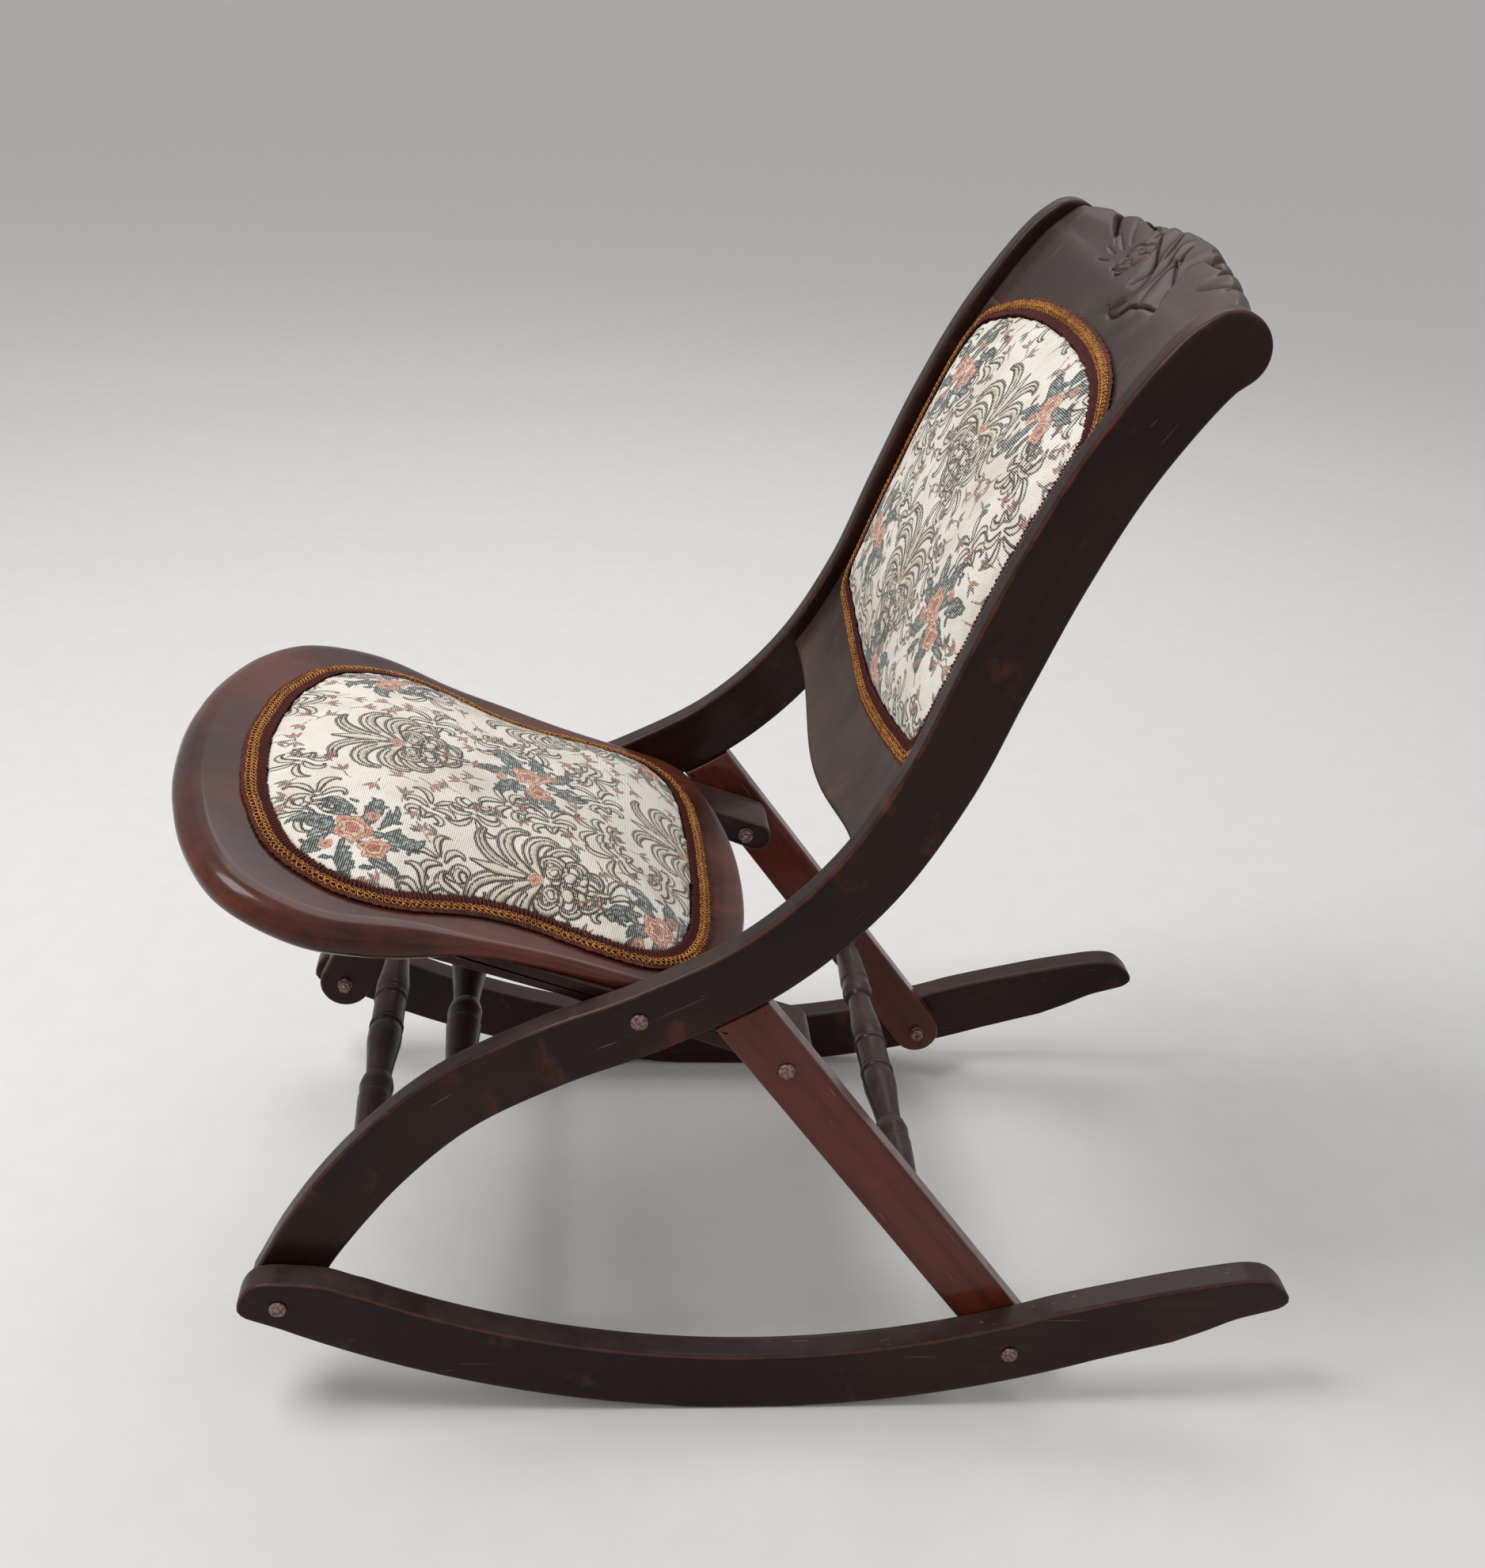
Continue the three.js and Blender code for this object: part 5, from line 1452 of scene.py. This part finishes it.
def finished_shape(name, points, faces, angle=40):
    mesh = bpy.data.meshes.new(name)
    mesh.from_pydata((points * MM).tolist(), [], faces)
    face_outwards(mesh, 1e-7)
    mesh.shade_smooth()
    mesh.set_sharp_from_angle(angle=math.radians(angle))
    return add_object(name, mesh)


def bolt_shape(grip):
    """A bolt with a domed head, whose shank is as long as its grip."""
    turns = np.linspace(0, math.pi / 2, 8)[:-1]
    dome = [(HEAD_RADIUS * math.cos(a), HEAD_EDGE + (HEAD_HEIGHT - HEAD_EDGE) * math.sin(a)) for a in turns]
    shank = [(0, -grip), (BOLT_RADIUS - 0.5, -grip), (BOLT_RADIUS, -grip + 0.6), (BOLT_RADIUS, 0)]
    return turned_shape("bolt", [*shank, (5.9, 0), (HEAD_RADIUS, 0.25), *dome, (0, HEAD_HEIGHT)])


def sleeve_shape():
    """A sleeve nut: a head inside the leg, and a sleeve that runs out through it."""
    flange = WASHER_THICKNESS + 2 * SEATING_GAP
    end = flange + NUT_THICKNESS
    head = [(0, 1.6 - end), (1.2, 1.6 - end), (1.4, -end), (4.5, -end)]
    head += [(NUT_RADIUS, -flange - NUT_THICKNESS * 0.8), (NUT_RADIUS, -flange - 0.2)]
    head += [(NUT_RADIUS - 0.2, -flange), (BOLT_RADIUS, -flange)]
    return turned_shape("sleeve", [*head, (BOLT_RADIUS, SLEEVE_REACH), (0, SLEEVE_REACH)])


def ring_shape(name, outer, thickness, sides, ease):
    """A washer or nut: a ring with eased outer edges, with as many sides outside as given."""
    count = 36
    angle = np.linspace(0, 2 * math.pi, count, endpoint=False)
    reach, bore = np.full(count, outer), np.full(count, BORE_RADIUS)
    if sides < count:
        flat = math.pi / sides
        folded = (angle + flat) % (2 * flat) - flat
        reach = outer * math.cos(flat) / np.cos(folded)
    high = thickness / 2
    rings = [(bore, -high), (reach - ease, -high), (reach, ease - high), (reach, high - ease),
             (reach - ease, high), (bore, high)]
    points = [np.column_stack([r * np.cos(angle), np.full(count, y), r * np.sin(angle)]) for r, y in rings]
    return finished_shape(name, np.vstack(points), faces_between(len(rings), count, closed_rows=True), 30)


def fastener_tree():
    """Geometry nodes that set one shape on each point, its head along the point's facing attribute."""
    found = bpy.data.node_groups.get("fastener_set")
    if found:
        return found
    sockets = [("Places", "Geometry"), ("Shape", "Object"), ("Material", "Material")]
    tree, desk, given = start_tree("fastener_set", sockets, "Fasteners")
    shape = desk.put("GeometryNodeObjectInfo", {"Object": given["Shape"]}).outputs["Geometry"]

    def direction(name):
        node = desk.put("GeometryNodeInputNamedAttribute", {"Name": name}, data_type="FLOAT_VECTOR")
        return node.outputs["Attribute"]

    facing, turned = direction("facing"), direction("turned")
    turn = desk.put("FunctionNodeAxesToRotation", {"Primary Axis": facing, "Secondary Axis": turned},
                    primary_axis="Y", secondary_axis="X").outputs[0]
    laid = desk.put("GeometryNodeInstanceOnPoints",
                    {"Points": given["Places"], "Instance": shape, "Rotation": turn})
    real = desk.put("GeometryNodeRealizeInstances", {"Geometry": laid.outputs[0]}).outputs[0]
    finished = desk.put("GeometryNodeSetMaterial", {"Geometry": real, "Material": given["Material"]})
    desk.put("NodeGroupOutput", {"Fasteners": finished.outputs[0]})
    return tree


def fastener_set(name, shape, x, pivots, body, nodes):
    """Both sides' copies of one fastener on one or more pivots, as one piece."""
    places, facing, turned = [], [], []
    for number, pivot in enumerate(pivots):
        for side in (1, -1):
            places.append((side * x, *pivot))
            facing.append((side, 0, 0))
            lean = 0.7 + number * 1.3 + side * 0.4
            turned.append((0, math.cos(lean), math.sin(lean)))
    mesh = bpy.data.meshes.new(name)
    mesh.from_pydata((np.array(places) * MM).tolist(), [], [])
    add_values(mesh, "facing", "FLOAT_VECTOR", facing)
    add_values(mesh, "turned", "FLOAT_VECTOR", turned)
    piece = add_object(name, mesh)
    apply_nodes(piece, fastener_tree(), {"Shape": shape, "Material": aged_iron()})
    bpy.data.objects.remove(shape)
    return place_piece(piece, body, nodes)


# What a user can change


def colour_setting(name, description, red, green, blue):
    return bpy.props.FloatVectorProperty(
        name=name, description=description, subtype="COLOR", size=3, min=0, max=1,
        default=linear(red, green, blue)[:3])


def number_setting(name, description, default, low, high, **kind):
    return bpy.props.FloatProperty(
        name=name, description=description, default=default, min=low, max=high, **kind)


def length_setting(name, description, default, low, high, precision=4):
    return number_setting(name, description, default, low, high, unit="LENGTH", precision=precision)


class ChairWood(bpy.types.PropertyGroup):
    """Colours and polish of the wood."""

    dark_deep: colour_setting("Dark wood, deep", "Darkest tone of rails and rockers", 25, 12, 8)
    dark_light: colour_setting("Dark wood, light", "Lightest tone of rails and rockers", 42, 21, 15)
    red_deep: colour_setting("Red wood, deep", "Darkest tone of the seat board and rear legs", 46, 17, 11)
    red_light: colour_setting("Red wood, light", "Lightest tone of the seat board and rear legs", 92, 40, 27)
    crest_deep: colour_setting("Back boards, deep", "Darkest tone of the crest and panel", 42, 30, 25)
    crest_light: colour_setting("Back boards, light", "Lightest tone of the crest and panel", 72, 52, 44)
    worn: colour_setting("Rubbed edges", "Colour of the wood where the stain has rubbed off", 112, 56, 36)
    polish: number_setting("Roughness", "Roughness of the varnish", 0.38, 0.15, 0.8, subtype="FACTOR")


class ChairTapestry(bpy.types.PropertyGroup):
    """The covers' weave and the pads' filling."""

    ground: colour_setting("Ground", "Colour of the plain ground", 238, 232, 221)
    rib_pitch: length_setting("Rib pitch", "Distance from rib to rib", 0.0015, 0.0008, 0.004)
    fill: number_setting("Fill", "How tightly the pads are stuffed", 0.8, 0, 1, subtype="FACTOR")
    swell: length_setting("Swell", "Furthest that a pad's surface moves as it is filled", 0.006, 0.001, 0.016)


class ChairGimp(bpy.types.PropertyGroup):
    """Sizes of the gimp's loops."""

    gold_pitch: length_setting("Gold pitch", "Distance from gold loop to gold loop", 0.0046, 0.001, 0.01)
    coil_pitch: length_setting("Coil pitch", "Distance from maroon coil to maroon coil", 0.0030, 0.001, 0.01)
    yarn: length_setting("Yarn radius", "Radius of the gold yarn", 0.00042, 0.0002, 0.002, 5)


class ChairCarving(bpy.types.PropertyGroup):
    """Depths of the carving on the crest."""

    swell: length_setting("Swell", "How far the carved ground stands out", 0.0012, 0, 0.004)
    depth: number_setting(
        "Depth", "Depth of the cuts, as a share of their drawn depth", 1.1, 0, 1.5, subtype="FACTOR")
    crease: length_setting("Crease", "Depth of the narrow crease along each cut", 0.0016, 0, 0.003)


class ChairStage(bpy.types.PropertyGroup):
    """Floor, light and camera."""

    floor: colour_setting("Floor", "Colour of the plain floor", 224, 222, 220)
    ambient: number_setting("Ambient", "Strength of the light from all round", 0.52, 0, 2)
    key: number_setting("Key light", "Power of the large lamp in front", 47, 0, 200, unit="POWER")
    lens: number_setting("Lens", "Focal length", 43.624, 10, 200, unit="CAMERA")


# One operator for each group of pieces


class CHAIR_OT_stage(bpy.types.Operator):
    """Make the camera, the pale floor and the soft lights"""

    bl_idname = "chair.stage"
    bl_label = "Stage"

    def execute(self, context):
        settings = context.scene.chair_stage
        scene = context.scene
        data = bpy.data.cameras.new("camera")
        data.lens = settings.lens
        data.sensor_width = 36
        data.clip_start, data.clip_end = 0.05, 120
        camera = add_object("camera", data)
        right = Vector((0.077533, 0.995207, 0.059598)).normalized()
        ahead = Vector((-0.897568, 0.095698, -0.430364)).normalized()
        above = right.cross(ahead).normalized()
        right = ahead.cross(above)
        turn = Matrix((right, above, -ahead)).transposed().to_4x4()
        camera.matrix_world = Matrix.Translation((1.302537, -0.134844, 1.024113)) @ turn
        scene.camera = camera

        bpy.ops.mesh.primitive_grid_add(x_subdivisions=8, y_subdivisions=8, size=90, location=(0, 0, 0))
        floor = context.active_object
        floor.name = "floor"
        material, desk, shader = new_material("pale_floor", opaque(settings.floor), 0.85)
        mottle = desk.noise(desk.place(), 26.0, 4.0, 0.6)
        faded = opaque(Vector(settings.floor) * 0.98)
        colour = desk.mix(desk.span(mottle, 0.35, 0.65), faded, opaque(settings.floor))
        desk.feed(shader.inputs["Base Color"], colour)
        floor.data.materials.append(material)

        world = bpy.data.worlds.new("surroundings")
        scene.world = world
        world.use_nodes = True
        desk = NodeDesk(world.node_tree)
        light = world.node_tree.nodes["Background"]
        light.inputs["Color"].default_value = (1, 1, 1, 1)
        light.inputs["Strength"].default_value = settings.ambient
        seen = desk.put("ShaderNodeBackground", {"Color": linear(214, 217, 222), "Strength": 1.0})
        rays = desk.put("ShaderNodeLightPath")
        chosen = desk.put("ShaderNodeMixShader", {0: rays.outputs["Is Camera Ray"], 1: light.outputs[0],
                                                  2: seen.outputs[0]})
        world.node_tree.links.new(chosen.outputs[0], world.node_tree.nodes["World Output"].inputs["Surface"])

        for name, power, size, place in (
            ("key_light", settings.key, 1.2, (0.25, -1.4, 2.65)),
            ("far_light", settings.key * 0.34, 1.5, (-1.9, 0.4, 2.4)),
            ("near_fill", settings.key * 0.12, 2.2, (2.6, 0.9, 1.6)),
        ):
            lamp = bpy.data.lights.new(name, "AREA")
            lamp.energy = power
            lamp.size = size
            holder = add_object(name, lamp)
            holder.location = place
            aim = Vector((0, 0, 0.4)) - Vector(place)
            holder.rotation_euler = aim.to_track_quat("-Z", "Y").to_euler()
        scene.view_settings.view_transform = "Standard"
        return {"FINISHED"}


class CHAIR_OT_rockers(bpy.types.Operator):
    """Make the two rockers"""

    bl_idname = "chair.rockers"
    bl_label = "Rockers"

    def execute(self, context):
        outline = rocker_outline()
        for side_name, side in SIDES:
            sawn_piece(f"rocker_{side_name}", outline, ROCKER_INNER, OUTER_HALF, side, (1, 0), dark_wood(),
                       "rockers")
        return {"FINISHED"}


class CHAIR_OT_side_rails(bpy.types.Operator):
    """Make the two bent side rails"""

    bl_idname = "chair.side_rails"
    bl_label = "Side rails"

    def execute(self, context):
        for side_name, side in SIDES:
            rail_piece(side_name, side, dark_wood())
        return {"FINISHED"}


class CHAIR_OT_rear_legs(bpy.types.Operator):
    """Make the two rear legs"""

    bl_idname = "chair.rear_legs"
    bl_label = "Rear legs"

    def execute(self, context):
        outline = leg_outline()
        for side_name, side in SIDES:
            sawn_piece(f"rear_leg_{side_name}", outline, RAIL_INNER, RAIL_OUTER, side,
                       LEG_TOP_PIVOT - REAR_PIVOT, red_wood(), "rear_legs", LEG_EDGE)
        return {"FINISHED"}


class CHAIR_OT_seat_arms(bpy.types.Operator):
    """Make the two arms under the seat"""

    bl_idname = "chair.seat_arms"
    bl_label = "Seat arms"

    def execute(self, context):
        outline = seat_arm_outline()
        for side_name, side in SIDES:
            sawn_piece(f"seat_arm_{side_name}", outline, ARM_INNER, ARM_OUTER, side, SEAT_ALONG, dark_wood(),
                       "seat", ARM_EDGE)
        return {"FINISHED"}


class CHAIR_OT_stretchers(bpy.types.Operator):
    """Make the three turned stretchers"""

    bl_idname = "chair.stretchers"
    bl_label = "Stretchers"

    def execute(self, context):
        down = unit(REAR_PIVOT - LEG_TOP_PIVOT)
        turned_piece("front_stretcher_lower", along_rail(LOWER_STRETCHER_ALONG)[0][0], "back_frame")
        turned_piece("front_stretcher_upper", along_rail(UPPER_STRETCHER_ALONG)[0][0], "back_frame")
        turned_piece("rear_stretcher", LEG_TOP_PIVOT + down * REAR_STRETCHER_ALONG, "rear_legs")
        return {"FINISHED"}


class CHAIR_OT_back_boards(bpy.types.Operator):
    """Make the carved crest, the panel and the lower rail of the back"""

    bl_idname = "chair.back_boards"
    bl_label = "Back boards"

    def execute(self, context):
        def lower_edge(x):
            return LOWER_RAIL_SIDE + LOWER_RAIL_SAG * np.cos(x / BACK_HALF * math.pi / 2) ** 2

        sides = np.linspace(-BACK_HALF, -112, 34)
        fine = np.r_[sides, np.linspace(-111.2, 111.2, 279), -sides[::-1]]
        carved = np.r_[np.linspace(0, 0.72, 160), np.linspace(0.73, 1, 14)]
        back_board("crest_rail", fine, carved, crest_top, lambda x: CREST_BOTTOM, CREST_THICKNESS,
                   crest_relief, True, False)
        plain = np.linspace(-BACK_HALF, BACK_HALF, 81)
        rows = np.linspace(0, 1, 40)
        back_board("back_panel", plain, rows, lambda x: CREST_BOTTOM + SEATING_GAP, lambda x: PANEL_BOTTOM,
                   PANEL_THICKNESS, plain_relief, False, False)
        back_board("lower_back_rail", plain, rows, lambda x: PANEL_BOTTOM + SEATING_GAP, lower_edge,
                   CREST_THICKNESS, plain_relief, False, True)
        return {"FINISHED"}


class CHAIR_OT_seat_board(bpy.types.Operator):
    """Make the seat board with its rolled rim"""

    bl_idname = "chair.seat_board"
    bl_label = "Seat board"

    def execute(self, context):
        seat_board_piece()
        return {"FINISHED"}


class CHAIR_OT_seat_pad(bpy.types.Operator):
    """Make the stuffed seat pad in its woven cover"""

    bl_idname = "chair.seat_pad"
    bl_label = "Seat pad"

    def execute(self, context):
        covered_pad(
            "seat_cushion", "seat_pad", "seat", seat_places,
            lambda x, along, lift: on_seat(x, along, lift + SEAT_TOP), 42,
            (-190, -310), (-190, -310), (190, 60), (8, 3),
            roses=[(0, -98, 14), (132, -215, 14), (-132, -215, 14), (138, 10, 14), (-138, 10, 14)],
            scrolls=[(0, -214, 1), (0, 20, 1), (124, -100, 1), (-124, -100, 1)])
        return {"FINISHED"}


class CHAIR_OT_back_pad(bpy.types.Operator):
    """Make the stuffed back pad in its woven cover"""

    bl_idname = "chair.back_pad"
    bl_label = "Back pad"

    def execute(self, context):
        covered_pad(
            "back_cushion", "back_pad", "back_frame", back_places, on_back, 40,
            (-175, 50), (-175, 62), (175, 360), (9, 5),
            roses=[(86, 100, 14), (-118, 128, 14), (112, 246, 14), (-112, 262, 14), (6, 334, 13)],
            scrolls=[(0, 128, 1), (0, 248, 1)])
        return {"FINISHED"}


class CHAIR_OT_gimps(bpy.types.Operator):
    """Make the gimp round both pads"""

    bl_idname = "chair.gimps"
    bl_label = "Gimp"

    def execute(self, context):
        gimp_pieces("seat", seat_pad_outline(), on_seat, "seat", SEAT_TOP + SEATING_GAP)
        gimp_pieces("back", back_pad_outline(), on_back, "back_frame", SEATING_GAP)
        return {"FINISHED"}


class CHAIR_OT_fasteners(bpy.types.Operator):
    """Make the bolts, washers and nuts of the pivots"""

    bl_idname = "chair.fasteners"
    bl_label = "Fasteners"

    def execute(self, context):
        gap = SEATING_GAP

        def names(pivots, kind):
            return [f"{pivot}_{side}_{kind}" for pivot in pivots for side, _ in SIDES]

        def washer():
            return ring_shape("washer", WASHER_RADIUS, WASHER_THICKNESS, 36, 0.25)

        def clamp(pivots, places, head_x, inner_x, body):
            washer_x = inner_x - gap - WASHER_THICKNESS / 2
            nut_x = washer_x - WASHER_THICKNESS / 2 - gap - NUT_THICKNESS / 2
            bolt = bolt_shape(head_x + gap - (nut_x - NUT_THICKNESS / 2) + BOLT_TAIL)
            nut = ring_shape("nut", NUT_RADIUS, NUT_THICKNESS, 6, 0.4)
            kinds = (("bolt", bolt, head_x + gap), ("washer", washer(), washer_x), ("nut", nut, nut_x))
            for kind, shape, x in kinds:
                fastener_set(f"{pivots[0]}_{kind}s", shape, x, places, body, names(pivots, kind))

        clamp(["front_pivot"], [FRONT_PIVOT], OUTER_HALF, RAIL_INNER, "rockers")
        clamp(["seat_pivot", "leg_pivot"], [SEAT_PIVOT, LEG_TOP_PIVOT], RAIL_OUTER, ARM_INNER, "seat")
        for kind, shape, x, body in (
            ("bolt", bolt_shape(REAR_BOLT_GRIP), OUTER_HALF + gap, "rockers"),
            ("washer", washer(), RAIL_INNER - gap - WASHER_THICKNESS / 2, "rear_legs"),
            ("sleeve_nut", sleeve_shape(), RAIL_INNER, "rear_legs"),
        ):
            fastener_set(f"rear_pivot_{kind}s", shape, x, [REAR_PIVOT], body, names(["rear_pivot"], kind))
        return {"FINISHED"}


OPERATORS = (
    CHAIR_OT_stage, CHAIR_OT_rockers, CHAIR_OT_side_rails, CHAIR_OT_rear_legs, CHAIR_OT_seat_arms,
    CHAIR_OT_stretchers, CHAIR_OT_back_boards, CHAIR_OT_seat_board, CHAIR_OT_seat_pad, CHAIR_OT_back_pad,
    CHAIR_OT_gimps, CHAIR_OT_fasteners,
)
SETTINGS = {
    "chair_wood": ChairWood, "chair_tapestry": ChairTapestry, "chair_gimp": ChairGimp,
    "chair_carving": ChairCarving, "chair_stage": ChairStage,
}


class CHAIR_PT_panel(bpy.types.Panel):
    """Lists the chair's settings and operators in the sidebar"""

    bl_idname = "CHAIR_PT_panel"
    bl_label = "Rocking Chair"
    bl_space_type = "VIEW_3D"
    bl_region_type = "UI"
    bl_category = "Rocking Chair"

    def draw(self, context):
        for name, group in SETTINGS.items():
            box = self.layout.box()
            box.label(text=group.__doc__)
            for field in group.__annotations__:
                box.prop(getattr(context.scene, name), field)
        for operator in OPERATORS:
            self.layout.operator(operator.bl_idname)


def register():
    for name, group in SETTINGS.items():
        bpy.utils.register_class(group)
        setattr(bpy.types.Scene, name, bpy.props.PointerProperty(type=group))
    for kind in (*OPERATORS, CHAIR_PT_panel):
        bpy.utils.register_class(kind)


def unregister():
    for kind in (CHAIR_PT_panel, *reversed(OPERATORS)):
        bpy.utils.unregister_class(kind)
    for name, group in reversed(SETTINGS.items()):
        delattr(bpy.types.Scene, name)
        bpy.utils.unregister_class(group)


def main():
    register()
    for operator in OPERATORS:
        space, _, name = operator.bl_idname.partition(".")
        getattr(getattr(bpy.ops, space), name)()


if __name__ == "__main__":
    main()
